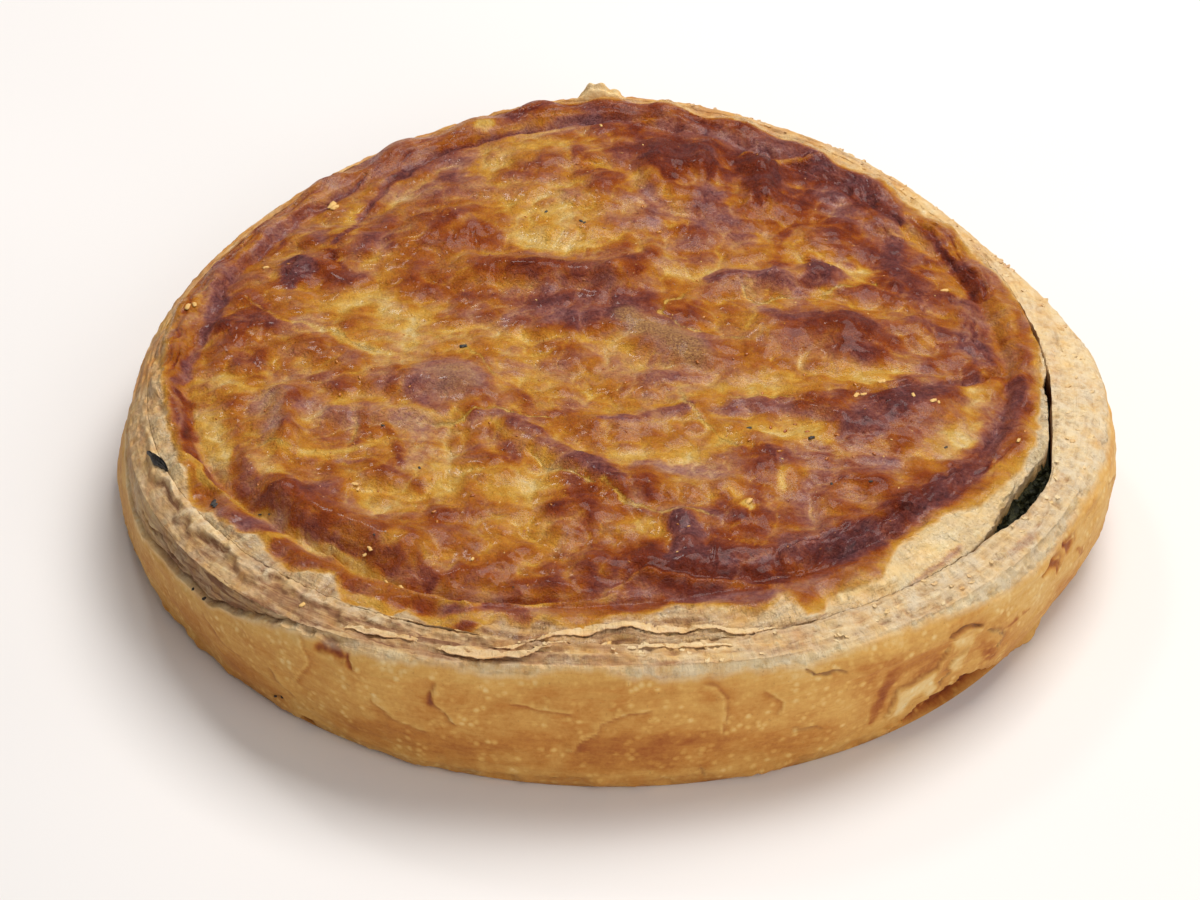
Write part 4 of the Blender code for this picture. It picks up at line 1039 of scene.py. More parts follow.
    ("copper", 0.7, 2, ((-93, 55, 4), (-85, 58, 4), (-82, 70, 4))),
    ("mauve", 0.8, 3, ((-84.5, 61, 2.4), (-82, 57, 1.6))),
    ("gold", 0.8, 2, ((-79, 62, 2.2), (-74, 58, 2), (-74, 80, 3), (-70, 85, 2.5))),
    ("chestnut", 0.7, 3, ((-95, 63, 0.8), (-94.5, 58, 0.9), (-97, 54, 0.7))),
    ("rust", 0.7, 2, ((-78, 90, 3), (-68, 97, 3), (-56, 105, 4), (-44, 111, 3))),
    ("plum", 0.95, 3, ((-78, 55, 0.9), (-72, 67, 1.2), (-67, 78, 1.4), (-63, 88, 1.8), (-57, 97, 1.8),
                       (-48, 103, 1.8))),
    ("plum", 0.95, 3, ((-48, 103, 1.8), (-38, 108.5, 2.0), (-25, 112.5, 2.0), (-10, 115, 1.8),
                       (6, 117.5, 1.8))),
    ("chestnut", 0.9, 2, ((-30, 120, 4), (-14, 123, 4), (2, 122, 4), (20, 121, 4), (42, 116, 4),
                          (56, 110, 3))),
    ("straw", 0.9, 3, ((-39, 115, 2.6), (-36, 116.5, 2.0))),
    ("plum", 0.9, 3, ((-72, 91, 1.2), (-82, 81, 1.6), (-91, 71, 1.7), (-99, 60, 1.8), (-105, 48, 2.0),
                      (-109.5, 34, 2.2))),
    ("plum", 0.95, 3, ((-109.5, 34, 2.2), (-111.5, 22, 2.6), (-112, 12, 2.4), (-114, 0, 1.6),
                       (-116, -14, 1.3))),
    ("copper", 0.75, 2, ((-112, 52, 3), (-119, 24, 3.5), (-121, 0, 3.5), (-121, -24, 3), (-118, -42, 3))),
    ("gold", 0.5, 2, ((-113, 36, 1.4), (-118, 12, 1.4))),
    ("rust", 0.5, 2, ((-122, 6, 1.2), (-121, -30, 1.4), (-118, -50, 1.6))),
    ("straw", 0.85, 2, ((-108, -13, 4), (-103, -19, 6), (-97, -22, 3))),
    ("gold", 0.8, 2, ((-107, -33, 4), (-103, -47, 5), (-98, -57, 3))),
    ("copper", 0.7, 2, ((-95, -34, 4), (-99, -40, 4))),
    ("mahogany", 0.95, 3, ((-115.5, -18, 1.2), (-113.5, -34, 1.8), (-111, -48, 1.8), (-106, -58, 1.6),
                           (-99, -68, 1.5))),
    ("mauve", 0.9, 2, ((-92, -28, 4.5), (-87, -24, 4), (-84, -30, 4), (-86, -40, 3.5))),
    ("mahogany", 0.9, 3, ((-84, -27, 1.6), (-83.5, -36, 2.6), (-83.5, -47, 1.8))),
    ("rust", 0.9, 3, ((-98, -48, 1.4), (-93, -44.5, 1.6), (-88, -43, 1.2))),
    ("straw", 0.8, 3, ((-92, -47, 0.8), (-87, -46.5, 0.9), (-84, -50, 0.8))),
    ("mauve", 0.8, 2, ((-80, -32, 4), (-70, -36, 5), (-58, -38, 5), (-46, -39, 3))),
    ("rust", 0.8, 2, ((-78, -42, 5), (-70, -45, 4), (-60, -44, 3))),
    ("gold", 0.7, 2, ((-70, -27, 3), (-60, -27, 2.5))),
    ("straw", 0.7, 3, ((-67.5, -38, 0.9), (-67, -47, 0.9))),
    ("chestnut", 0.85, 3, ((-65, -36, 1.6), (-64, -48, 1.4))),
    ("chestnut", 0.8, 3, ((-57, -40, 1.5), (-52, -50, 1.8), (-50, -58, 1.2))),
    ("straw", 0.8, 2, ((-80, -53, 1.4), (-70, -51.5, 1.4), (-60, -49, 1.2))),
    ("copper", 0.9, 2, ((-76, -58, 4), (-80, -64, 3))),
    ("straw", 0.6, 2, ((-86, -58, 1.6), (-83, -64, 1.6))),
    ("mauve", 0.7, 2, ((-68, -55.5, 1.4), (-62, -55, 1.4))),
    ("gold", 0.7, 2, ((-62, -62, 5), (-54, -70, 5), (-60, -76, 3))),
    # front left
    ("mahogany", 1.0, 4, ((-97, -49, 2), (-96, -57, 3.4), (-91, -65, 4.4), (-84, -72, 6), (-76, -78, 7.6))),
    ("mahogany", 1.0, 4, ((-76, -78, 7.6), (-67, -84, 8), (-58, -89, 7.4), (-51, -95, 5.5),
                          (-44, -103, 3.4))),
    ("chestnut", 0.75, 2, ((-78, -68, 2), (-68, -74, 2.6), (-57, -80, 2.6), (-49, -87, 2.4), (-44, -96, 2))),
    ("mauve", 0.5, 2, ((-74, -67, 2), (-64, -74, 2), (-54, -79, 2))),
    ("copper", 0.9, 3, ((-51, -91, 3.4),)),
    ("gold", 0.8, 3, ((-101, -64, 1.1), (-92, -73, 1.2), (-82, -81, 1.2), (-72, -89, 1.3),
                      (-62, -96, 1.3), (-52, -103, 1.1))),
    ("gold", 1.0, 4, ((-114, -50, 1.2), (-105, -63, 1.2), (-96, -72, 1.2), (-86, -80, 1.3),
                      (-76, -88, 1.3), (-66, -96, 1.3))),
    ("gold", 1.0, 4, ((-66, -96, 1.3), (-56, -103, 1.4), (-48, -108, 1.4), (-40, -112, 1.4),
                      (-32, -114, 1.4))),
    ("gold", 1.0, 4, ((-32, -114, 1.4), (-20, -113, 1.3), (-8, -111.5, 1.2), (0, -110.5, 1.2),
                      (6, -109, 1.0))),
    ("rust", 0.95, 3, ((-110, -64, 2.6), (-105, -69, 4), (-100, -73, 3))),
    ("mauve", 0.95, 3, ((-98, -79, 3.5), (-90, -83.5, 4.6), (-83, -82, 3.6))),
    ("rust", 0.95, 3, ((-81, -91, 4), (-74, -97, 5), (-67, -99, 4), (-64, -108, 3.4))),
    ("rust", 0.95, 3, ((-60, -106, 4), (-51, -111, 4.4), (-44, -114, 3.4))),
    ("chestnut", 0.95, 3, ((-36, -117, 3.4), (-31, -122, 3.2), (-34, -126, 2))),
    ("chestnut", 0.95, 3, ((-26, -115, 2.4), (-19, -116, 2.8), (-16, -120, 2.2))),
    ("copper", 0.9, 3, ((-8, -114, 2.6), (0, -113, 2.6))),
    ("straw", 0.9, 3, ((-84, -87, 2), (-80, -84.6, 1.4))),
    ("straw", 0.8, 3, ((-71, -104, 1.6), (-57, -114, 2.4), (-40, -119, 2.4), (-24, -120, 2.2))),
    ("chestnut", 0.8, 3, ((-38, -109.5, 1.0), (-25, -110.5, 1.4), (-10, -109, 1.2))),
    ("copper", 0.9, 4, ((-48, -18, 10), (-41, -17, 12), (-37, -21, 11), (-44, -25, 10))),
    ("mauve", 1.0, 4, ((-48, -18, 6.5), (-41, -17, 8.5), (-37, -21, 7.5), (-44, -25, 6.5))),
    ("grain", 0.5, 2, ((-43, -19, 5.5), (-39, -22, 6.0))),
    ("slate", 0.7, 2, ((-51, -24, 2.4), (-48, -30, 2.4), (-42, -32.5, 1.6))),
    ("chestnut", 0.7, 2, ((-57, -12, 2.4), (-57, -22, 2.6), (-54, -30, 2))),
    ("rust", 0.8, 2, ((-32, -28, 2.4), (-30, -22, 2.4))),
    ("gold", 0.85, 3, ((-16, -24, 6), (-14, -30, 5))),
    ("rust", 0.7, 2, ((-22, -24, 1.6), (-20, -31, 1.6))),
    ("mauve", 0.6, 2, ((-24, -12, 3), (-12, -11, 4), (-4, -16, 3))),
    ("straw", 0.8, 3, ((-38, 0, 0.7), (-33, -9, 0.7), (-28, -17, 0.7))),
    ("straw", 0.95, 4, ((-46, -38, 0.7), (-36, -36.5, 0.7), (-27, -34.5, 0.7), (-21, -37, 0.7),
                        (-8, -37.5, 0.7))),
    ("mauve", 0.9, 3, ((-34, -38.5, 1.6), (-27, -38.5, 2.4), (-20, -41, 2))),
    ("copper", 0.6, 2, ((-40, -45, 5), (-30, -50, 4))),
    ("chestnut", 0.8, 3, ((-28, -44, 1.6), (-25, -50, 2.2), (-23.5, -57, 1.8))),
    ("plum", 0.95, 3, ((-22, -43, 2.2), (-15, -48, 3), (-8, -54, 3.4), (0, -61, 3), (6, -67, 2))),
    ("straw", 0.85, 3, ((-20, -51, 0.7), (-14, -57.5, 0.9), (-6, -62.5, 0.9), (1, -68, 0.8))),
    ("copper", 0.7, 2, ((-14, -41, 3), (-2, -43, 3))),
    ("gold", 0.9, 2, ((-44, -62, 6), (-30, -66, 9), (-18, -66, 8), (-24, -76, 8))),
    ("straw", 0.6, 2, ((-26, -60, 3), (-17, -65, 4), (-42, -60, 2))),
    ("rust", 0.6, 2, ((-55, -60, 1.2), (-46, -68, 1.4), (-42, -73, 1.2))),
    ("rust", 0.6, 2, ((-39, -78, 4), (-37, -85, 3))),
    ("amber", 0.8, 2, ((-40, -92, 5), (-30, -98, 5), (-22, -92, 5))),
    ("gold", 0.8, 2, ((-14, -83, 3.5), (-5, -80, 3.5), (-21, -104, 2.4))),
    ("copper", 0.7, 2, ((-16, -90, 4), (-12, -99, 4), (-28, -104, 3))),
    ("chestnut", 0.5, 2, ((-4, -97, 3), (-3, -104, 3))),
)


def disc_place(u, v):
    """Points of a square carried to a disc so that squares round the middle become rings."""
    wide = np.abs(u) >= np.abs(v)
    safe_u, safe_v = np.where(u == 0, 1e-9, u), np.where(v == 0, 1e-9, v)
    flat = math.pi / 4 * v / safe_u + np.where(u < 0, math.pi, 0)
    steep = math.pi / 2 - math.pi / 4 * u / safe_v + np.where(v < 0, math.pi, 0)
    return np.maximum(np.abs(u), np.abs(v)), np.where(wide, flat, steep)


def wrinkle_height(x, y):
    """Height of the fine wrinkles, and how deep a point lies in one."""
    total, depth = np.zeros_like(x), np.zeros_like(x)
    for number, (half_width, spacing, height, points) in enumerate(WRINKLES):
        off, side, share = beside(x, y, points)
        along = share * sum(math.dist(p, q) for p, q in zip(points, points[1:]))
        ripple = cloud(along / 7, side * off, 9.0 * number, 0.55 * spacing, 60 + number, 2)
        crest = ease(half_width - off, 0, 0.6 * half_width) * 1.5 * ripple
        total += height * crest
        depth = np.maximum(depth, -crest * min(1.0, 2 * height))
    return total, depth


LID_RINGS, WIDE_RINGS = 150, 108  # rings of points, and how many of them stand wider apart
FINE_RADIUS = 106.0  # from here outwards the rings are close together
CROWN_HEIGHT, CROWN_FALL = 45, 5  # mm, at the middle and from there to the groove
BORDER_SHAPE = ((112, 41.0), (115, 39.4), (118.3, 42.2), (122, 43.8), (126, 43.0), (130, 41.6), (134, 40.6))
SMOOTHED, SMOOTHED_SIDE = 9, 8  # steps of the profile that are averaged, and its ends that are left out
PUFF_HEIGHT, SMALL_PUFF_HEIGHT, PUCKER_HEIGHT, FOLD_GAIN = 2.4, 1.0, 0.4, 1.25
ring_radii = np.concatenate([np.linspace(0, FINE_RADIUS, WIDE_RINGS + 1)[:-1],
                             np.linspace(FINE_RADIUS, SEAM_RADIUS, LID_RINGS + 1 - WIDE_RINGS)])
span = np.linspace(-1, 1, 2 * LID_RINGS + 1)
u, v = (value.ravel() for value in np.meshgrid(span, span, indexing="ij"))
ring, angle = disc_place(u, v)
radius = ring_radii[np.round(ring * LID_RINGS).astype(int)]
at_rim = radius > SEAM_RADIUS - 0.01
profile_radii = np.arange(0, SEAM_RADIUS + 4, 0.25)
profile = CROWN_HEIGHT - CROWN_FALL * (profile_radii / GROOVE_RADIUS) ** 4
profile = np.where(profile_radii > BORDER_SHAPE[0][0], np.interp(profile_radii, *zip(*BORDER_SHAPE)), profile)
averaged = np.convolve(profile, np.ones(SMOOTHED) / SMOOTHED, "same")
profile[SMOOTHED_SIDE:-SMOOTHED_SIDE] = averaged[SMOOTHED_SIDE:-SMOOTHED_SIDE]
height = np.interp(radius, profile_radii, profile)
u, v = settle(radius, angle, height)[:2]
layer_relief, layer_toast, layer_flour, layer_seam = torn_edge(u, v, radius, angle)
border = np.clip((radius - GROOVE_RADIUS) / (BROWN_RADIUS - GROOVE_RADIUS), 0, 1)
border *= np.clip((SEAM_RADIUS - radius) / (SEAM_RADIUS - BROWN_RADIUS), 0, 1)
lobes = np.sin(33 * angle + 1.5 * np.sin(4 * angle)) + 0.5 * np.sin(21 * angle + 2)
height += border * lobes
height += edge_layers(radius, angle) * ease(radius, 127, SEAM_RADIUS)
rim_share = np.clip((radius - BROWN_RADIUS) / (SEAM_RADIUS - BROWN_RADIUS), 0, 1)
opened = split(angle) - SEAM_GAP + crack(angle) - 0.12 * (1 - hump(angle, -21, 23, 6))
opened += 0.5 * np.abs(cloud(u, v, 0, 2.4, 83, 3)) * ease(crack(angle) + split(angle), 0.2, 0.6)
radius += 1.3 * border * lobes + seam_shift(angle) * ease(radius, 112, SEAM_RADIUS) - opened * rim_share
x, y, z = settle(radius, angle, height)
fade = np.clip((GROOVE_RADIUS + 4 - radius) / 10, 0, 1)
bent_x = x + 1.8 * cloud(x, y, 0, 13, 71, 2) + 0.9 * cloud(x, y, 0, 4, 72, 3)
bent_y = y + 1.8 * cloud(x, y, 0, 13, 73, 2) + 0.7 * cloud(x, y, 0, 4, 74, 3)
creases, crease_depth = wrinkle_height(bent_x, bent_y)
puff = np.abs(cloud(x / 1.2, y, 0, 20, 84, 3)) - 0.3
small_puff = np.abs(cloud(x / 1.1, y, 0, 7, 85, 2)) - 0.3
valleys = 0.6 * np.exp(-((puff + 0.3) / 0.06) ** 2) + np.exp(-((small_puff + 0.3) / 0.07) ** 2)
pucker = np.abs(cloud(x / 1.1, y, 0, 3.4, 86, 2)) - 0.3
inside = ease(SEAM_RADIUS - radius, 1, 6)
folds = [(FOLD_GAIN * h, stroke(x, y, ((a, b, w), (c, d, w)), 2)) for a, b, c, d, w, h in FOLDS]
loose = fade * (1 - 0.7 * np.max([(h / 5.5) ** 2 * mask for h, mask in folds], axis=0))
z += fade * sum(h * mask for h, mask in folds)
z += inside * sum(h * stroke(bent_x, bent_y, points, 2) for h, points in RIDGES)
puffed = PUFF_HEIGHT * puff + SMALL_PUFF_HEIGHT * small_puff + PUCKER_HEIGHT * pucker
z += inside * (creases + 0.12 * cloud(x, y, 0, 2.4, 76, 2)) + loose * puffed

# How brown, and how much painted sheen: a middling tone all over, then each mark and each puff laid over it
MIDDLING_TONE, SANDY_TONE, DARKEST = 0.52, 0.5, 0.93
VEIN_WIDTH, VEIN_HALO = 1.25, 2.6  # pale strokes thinner than this are veins in the glaze, with a soft side
tone = MIDDLING_TONE + 0.09 * cloud(x, y, 0, 26, 77, 2)
# painted sheen: patches of dull purplish grey that stand in for soft light reflected by the glaze
haze = 0.05 + 0.3 * ease(cloud(x, y, 0, 14, 78, 2), 0.1, 0.6)
grain, vein, vein_side = np.zeros_like(x), np.zeros_like(x), np.full_like(x, 9.0)
for name, strength, firmness, points in LID_MARKS:
    mask = strength * stroke(bent_x, bent_y, points, 1.7 * firmness)
    half_width = sum(c for _, _, c in points) / len(points)
    if name == "grain":
        grain = np.maximum(grain, mask)
        tone += 0.8 * mask * (SANDY_TONE - tone)
        continue
    if name in ("cream", "straw") and half_width < VEIN_WIDTH and len(points) > 1:
        off, side, share = beside(bent_x, bent_y, [(a, b) for a, b, _ in points])
        near = strength * np.exp(-(off / VEIN_HALO) ** 2) * ease(share, 0, 0.12) * (1 - ease(share, 0.88, 1))
        vein_side = np.where(near > vein, side * off / half_width, vein_side)
        vein = np.maximum(vein, near)
        mask = 0.3 * mask
    tone += mask * (TONES[name][0] - tone)
    haze += mask * (TONES[name][1] - haze)
tone += loose * (0.28 * puff + 0.13 * small_puff + 0.09 * pucker - 0.14 * valleys)
tone += 0.08 * cloud(x / 1.1, y, 0, 5, 79, 3)
tone += 0.2 * np.clip(crease_depth, 0, 1)
tone += sum(much * np.exp(-((x - a) ** 2 + (y - b) ** 2) / r ** 2) for much, a, b, r in BROWNED)
tone = np.minimum(tone, DARKEST)
real_radius, degrees = np.hypot(x, y), np.degrees(angle) % 360
brown_end = np.interp(degrees, *zip(*BROWN_EDGE), period=360) + 0.8 * cloud(x, y, 0, 3.4, 81, 3)
feather = 2.6 + 2.6 * hump(angle, 325, 38, 4) * (1 + cloud(x, y, 0, 5, 82, 2))
gilded = ease(real_radius, brown_end - feather, brown_end + 0.2)
browner_left = 0.16 * hump(angle, STRANDED, 34, 4) * ease(radius, 114, 118)
tone += browner_left + 0.1 * hump(angle, 12, 30, 4) * ease(radius, 112, 118)
tone += gilded * (TONES["gold"][0] - tone)
haze *= 1 - 0.7 * gilded
dough = ease(real_radius, brown_end - 0.4, brown_end + 0.8) * ease(radius, 104, 109)
z += dough * (layer_relief - 0.8 * inside)
lid_marks = {"tone": tone, "haze": np.clip(haze, 0, 1), "grain": grain, "dough": dough, "toast": layer_toast,
             "flour": layer_flour, "seam": layer_seam, "vein": vein, "vein_side": vein_side}
wobble = 0.5 * cloud(x, y, 0, 3, 37, 2)
mark_edge(lid_marks, x, y, z, wobble, dough, inside)
dark_rim = at_rim * (split(angle) + crack(angle) > 0.4)
lid_marks["seam"] = np.maximum(lid_marks["seam"], 0.5 * dark_rim)

# The lid's underside lies flat on the filling: a band round the rim, then a fan to the middle
side = 2 * LID_RINGS + 1
grid = np.arange(side * side).reshape(side, side)
faces = np.stack([grid[:-1, :-1], grid[1:, :-1], grid[1:, 1:], grid[:-1, 1:]], -1).reshape(-1, 4).tolist()
rim = np.concatenate([grid[:-1, 0], grid[-1, :-1], grid[:0:-1, -1], grid[0, :0:-1]])
under = side * side + np.arange(len(rim))
rim_angle = angle[rim]
under_radius = SEAM_RADIUS - split(rim_angle) - crack(rim_angle) + seam_shift(rim_angle)
under_points = np.stack(settle(under_radius, rim_angle, np.full_like(under_radius, FILLING_HEIGHT)), 1)
middle = side * side + len(rim)
for a, b, c, d in zip(rim, np.roll(rim, -1), np.roll(under, -1), under):
    faces.append((int(b), int(a), int(d), int(c)))
    faces.append((int(c), int(d), middle))
lid_points = np.concatenate([np.stack([x, y, z], 1), under_points, [(0, 0, FILLING_HEIGHT)]])
under_marks = np.full(len(rim) + 1, 0.3)
lid_marks = {label: np.concatenate([values, under_marks]) for label, values in lid_marks.items()}


def blended(tree, share, first, second):
    """The value output of a Mix node."""
    return lay(tree, "ShaderNodeMix", {0: share, 2: first, 3: second}, data_type="FLOAT").outputs[0]


# The egg glaze on dough: gold through copper to mahogany as it bakes, dulled purplish by a painted sheen,
# sandy where it dried out on a bubble, and cream where it split along a vein or a fine crease.
GLAZE_COLOURS = ((0.0, (228, 196, 130)), (0.15, (218, 172, 82)), (0.30, (206, 147, 52)),
                 (0.45, (187, 117, 34)), (0.58, (168, 92, 24)), (0.70, (146, 66, 16)), (0.84, (116, 42, 14)),
                 (1.0, (78, 24, 14)))
# painted sheen: the glaze colours turned dull purplish grey, as reflected light makes them look
SHEEN_COLOURS = ((0.0, (226, 198, 156)), (0.3, (202, 156, 120)), (0.5, (171, 121, 106)),
                 (0.68, (142, 92, 88)), (0.84, (110, 65, 66)), (1.0, (78, 44, 48)))
SAND_COLOURS = ((0.35, (112, 74, 50)), (0.5, (158, 114, 70)), (0.65, (198, 154, 92)))
VEIN_TONE = 0.12

glaze_inputs = {"Tone": 0.5, "Haze": 0.0, "Grain": 0.0, "Vein": 0.0, "Vein Side": 9.0}
glaze_tree, given, result = new_effect("baked_egg_glaze", glaze_inputs)
place = places(glaze_tree)
stretched = lay(glaze_tree, "ShaderNodeMapping", {"Vector": place, "Scale": (0.85, 1, 1)}).outputs["Vector"]
blotches = noise(glaze_tree, stretched, 210, 7, 0.72, 0.9)
fine = noise(glaze_tree, place, 950, 4, 0.65, 0.3)
painted_sheen_patches = times(glaze_tree, noise(glaze_tree, stretched, 110, 8, 0.74, 0.6), 2.8, -1.37)
haze = maths(glaze_tree, "ADD", given["Haze"], painted_sheen_patches, clamp=True)
vein_off = maths(glaze_tree, "ADD", given["Vein Side"], times(glaze_tree, fine, 2.4, -1.2))
vein_off = maths(glaze_tree, "ABSOLUTE", vein_off)
vein_off = maths(glaze_tree, "ADD", vein_off, times(glaze_tree, blotches, 4.0, -1.9))
vein = times(glaze_tree, given["Vein"], ranged(glaze_tree, vein_off, 0.85, 0.15))
tone_here = times(glaze_tree, blotches, 0.44, given["Tone"])
grit = times(glaze_tree, maths(glaze_tree, "SUBTRACT", fine, 0.5), times(glaze_tree, haze, 0.5, 0.24))
tone_here = maths(glaze_tree, "ADD", maths(glaze_tree, "SUBTRACT", tone_here, 0.276), grit)
tone_here = blended(glaze_tree, vein, tone_here, VEIN_TONE)
clear = colour_scale(glaze_tree, tone_here, GLAZE_COLOURS)
# painted sheen turns the clear glaze colour toward the sheen colours, and makes the glaze a little rougher
colour = mixed(glaze_tree, haze, clear, colour_scale(glaze_tree, tone_here, SHEEN_COLOURS))
sand = colour_scale(glaze_tree, noise(glaze_tree, place, 1500, 3, 0.7), SAND_COLOURS)
colour = mixed(glaze_tree, times(glaze_tree, given["Grain"], 0.8), colour, sand)
glaze_tree.links.new(colour, result["Color"])
rough = times(glaze_tree, given["Grain"], 0.35, times(glaze_tree, fine, 0.22, 0.16))
glaze_tree.links.new(times(glaze_tree, haze, 0.1, rough), result["Roughness"])
where_bubbled = ranged(glaze_tree, noise(glaze_tree, place, 90, 3), 0.48, 0.6)
pinheads = times(glaze_tree, round_spots(glaze_tree, place, 430, 0.3, 0.1), where_bubbled)
relief = times(glaze_tree, blotches, 1.7, times(glaze_tree, fine, 0.8))
relief = times(glaze_tree, pinheads, 0.3, times(glaze_tree, vein, -0.35, relief))
pits = times(glaze_tree, noise(glaze_tree, place, 1900, 2), times(glaze_tree, given["Grain"], 0.5, 0.12))
glaze_tree.links.new(maths(glaze_tree, "ADD", relief, pits), result["Height"])

# Bare dough takes over from the glaze where the brown ends
finish = {"Specular IOR Level": 0.1, "Coat Weight": 0.14, "Coat Roughness": 0.12}
crust, tree, shader = new_material("glazed_lid", finish)
glaze = marked(tree, glaze_tree, glaze_inputs)
bare = marked(tree, dough_tree, DOUGH_MARKS)
where_bare = mark(tree, "Dough")
surface = {label: blended(tree, where_bare, glaze.outputs[label], bare.outputs[label])
           for label in ("Roughness", "Height")}
colour = mixed(tree, where_bare, glaze.outputs["Color"], bare.outputs["Color"])
cover(tree, shader, colour, (surface["Height"], 1.0, 0.001), surface["Roughness"])
lid = baked_piece("glazed_lid", lid_points, faces, crust, "browned_lid", lid_marks)
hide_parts("lid")
lid_tree = BVHTree.FromPolygons(lid_points.tolist(), faces)


# Loose sheets of the edge: paper-thin layers of dough that came away from each other as they rose, each
# still held along its inner side and curling up at its torn outer side. Small flakes of the same layers lie
# on the edge between them.
LOOSE_SHEETS = (  # lift and width in mm, then the torn side as degrees and radius
    (0.8, 3.5, ((253.4, 136.9), (255.8, 138.4), (258, 139.4), (261, 139.6), (263.6, 138.2), (265, 135.9),
                (266.2, 132), (268, 129.6))),
    (0.5, 2.4, ((258.6, 134.9), (261.4, 135.4), (263.2, 133.6), (264.6, 130.4), (266, 128.6), (269.8, 125.6),
                (275, 125.8), (280.2, 125.4), (283.4, 127.6), (287.2, 129.8), (292, 130.5))),
    (0.6, 2.4, ((243, 136.4), (247, 136.5), (252, 136))),
    (0.4, 1.8, ((246, 130.6), (252, 131), (258, 131))),
    (0.4, 2.0, ((274, 133.5), (280, 134), (286, 134.5))),
)
SHEET_THICKNESS, SHEET_ROWS, SHEET_STEP = 0.22, 7, 0.22  # the step is in degrees
LAYER_HEIGHT = 41.0  # of the round pie's edge
FLAKE_COUNT, FLAKE_SEED = 130, 45
FRONT_LEFT, FRONT_LEFT_SPREAD = 225, 32  # degrees where the layers are browner, and greyer with painted shade


def ground_under(a, b):
    """The height of the pie's top at a place, in mm."""
    return max(drop_to(case_tree, a, b), drop_to(lid_tree, a, b))


sheets, sheet_toast = [], []
for number, (lift, width, points) in enumerate(LOOSE_SHEETS):
    path_angle, path_radius = (np.array(value, float) for value in zip(*points))
    steps = np.arange(path_angle[0], path_angle[-1], SHEET_STEP)
    padded = np.pad(np.interp(steps, path_angle, path_radius), 5, "edge")
    smooth_radius = np.convolve(padded, np.ones(11) / 11, "valid")
    a, b = settle(smooth_radius, np.radians(steps), np.full_like(steps, LAYER_HEIGHT))[:2]
    taper = np.sin(np.linspace(0, math.pi, len(steps))) ** 0.4
    slope_a, slope_b = np.gradient(a), np.gradient(b)
    length = np.hypot(slope_a, slope_b)
    nibble = 0.45 * cloud(a, b, 0, 4, 41, 2) + 0.22 * cloud(a, b, 0, 1.2, 44, 2) - 0.2
    across = np.linspace(0, 1, SHEET_ROWS)[:, None]
    inward = (width * taper + 0.3) * (1 - across) - nibble * across
    a, b = a - slope_b / length * inward, b + slope_a / length * inward
    ground = np.array([[ground_under(p, q) for p, q in zip(*pair)] for pair in zip(a, b)])
    ground = np.median([np.roll(ground, k, axis=1) for k in (-4, -2, 0, 2, 4)], axis=0)
    curl = lift * taper * across ** 1.6 * (0.9 + 0.8 * cloud(a, b, 5.0 * number, 6, 42, 2))
    rough_top = 0.3 * cloud(a, b, 5.0 * number, 2.2, 46, 3) * taper
    top = ground + 0.1 + curl + rough_top + 0.2 * taper * across
    sheets.append(closed_sheet(np.stack([a, b, top], -1), SHEET_THICKNESS))
    left = hump(np.radians(steps), FRONT_LEFT, FRONT_LEFT_SPREAD, 4)
    sheet_toast.append(np.tile((0.2 + 0.1 * left + 0.26 * across ** 6 + 0 * a).ravel(), 2))
draw = np.random.default_rng(FLAKE_SEED)
for number in range(FLAKE_COUNT):
    flake_angle = math.radians(draw.uniform(262, 440))
    spot = settled_spot(draw.uniform(131, 138.2), flake_angle, LAYER_HEIGHT)
    spot[2] = ground_under(spot[0], spot[1]) + 0.1
    sheets.append(petal(spot, draw.uniform(0.9, 2.6), draw.uniform(0.6, 1.5), draw.uniform(0, 2 * math.pi),
                        draw.uniform(0.0, 0.25), draw.uniform(-0.1, 0.1), number))
    toast = draw.uniform(0.1, 0.36) + 0.14 * float(hump(flake_angle, 55, 40, 4))
    sheet_toast.append(np.full(len(sheets[-1][0]), toast))
sheet_points, sheet_faces = gather(sheets)
sheet_toast = np.concatenate(sheet_toast) + 0.1 * cloud(*sheet_points.T, 9, 43, 2)
point_angle = np.arctan2(sheet_points[:, 1], sheet_points[:, 0])
# painted shade: the sheets are greyer at the front left
sheet_grey_shade = 0.05 + 0.2 * hump(point_angle, FRONT_LEFT, FRONT_LEFT_SPREAD, 4)
sheet_marks = {"toast": sheet_toast, "flour": 0.55 + 0 * sheet_toast, "seam": sheet_grey_shade}
baked_piece("loose_sheets", sheet_points, sheet_faces, dough_material("flaky_dough"), "pale_crust",
            sheet_marks)


# A dried shred of leaf, caught in the seam at the left as the pie was closed and baked black. It is flat,
# twisted and ridged along its length.
SHRED = (  # degrees, radius and half width in mm
    (201.0, 133.4, 0.45), (202.2, 132.6, 0.9), (203.6, 131.8, 1.25), (205.0, 131.0, 1.1),
    (206.3, 130.4, 0.5),
)
SHRED_STEPS, SHRED_ROWS, SHRED_THICKNESS, SHRED_LIFT = 30, 9, 0.7, 0.9
steps = np.linspace(0, len(SHRED) - 1, SHRED_STEPS)
shred_angle, shred_radius, breadth = (np.interp(steps, range(len(SHRED)), v) for v in zip(*SHRED))
side_step = np.linspace(-1, 1, SHRED_ROWS)[:, None]
twist = 0.5 * np.sin(steps * 1.9)
a, b = settle(shred_radius + breadth * side_step * np.cos(twist), np.radians(shred_angle) + 0 * side_step,
              np.full((SHRED_ROWS, SHRED_STEPS), SEAM_HEIGHT))[:2]
ground = np.array([ground_under(p, q) for p, q in zip(a[SHRED_ROWS // 2], b[SHRED_ROWS // 2])])
c = ground + SHRED_LIFT + 0.35 * np.cos(side_step * 8 + steps) + breadth * side_step * np.sin(twist) * 0.6
shred_points, shred_faces = closed_sheet(np.stack([a, b, c + 0 * a], -1), SHRED_THICKNESS)
dried, tree, shader = new_material("dried_leaf", {"Roughness": 0.6})
veins = noise(tree, places(tree), 1200, 3, 0.7)
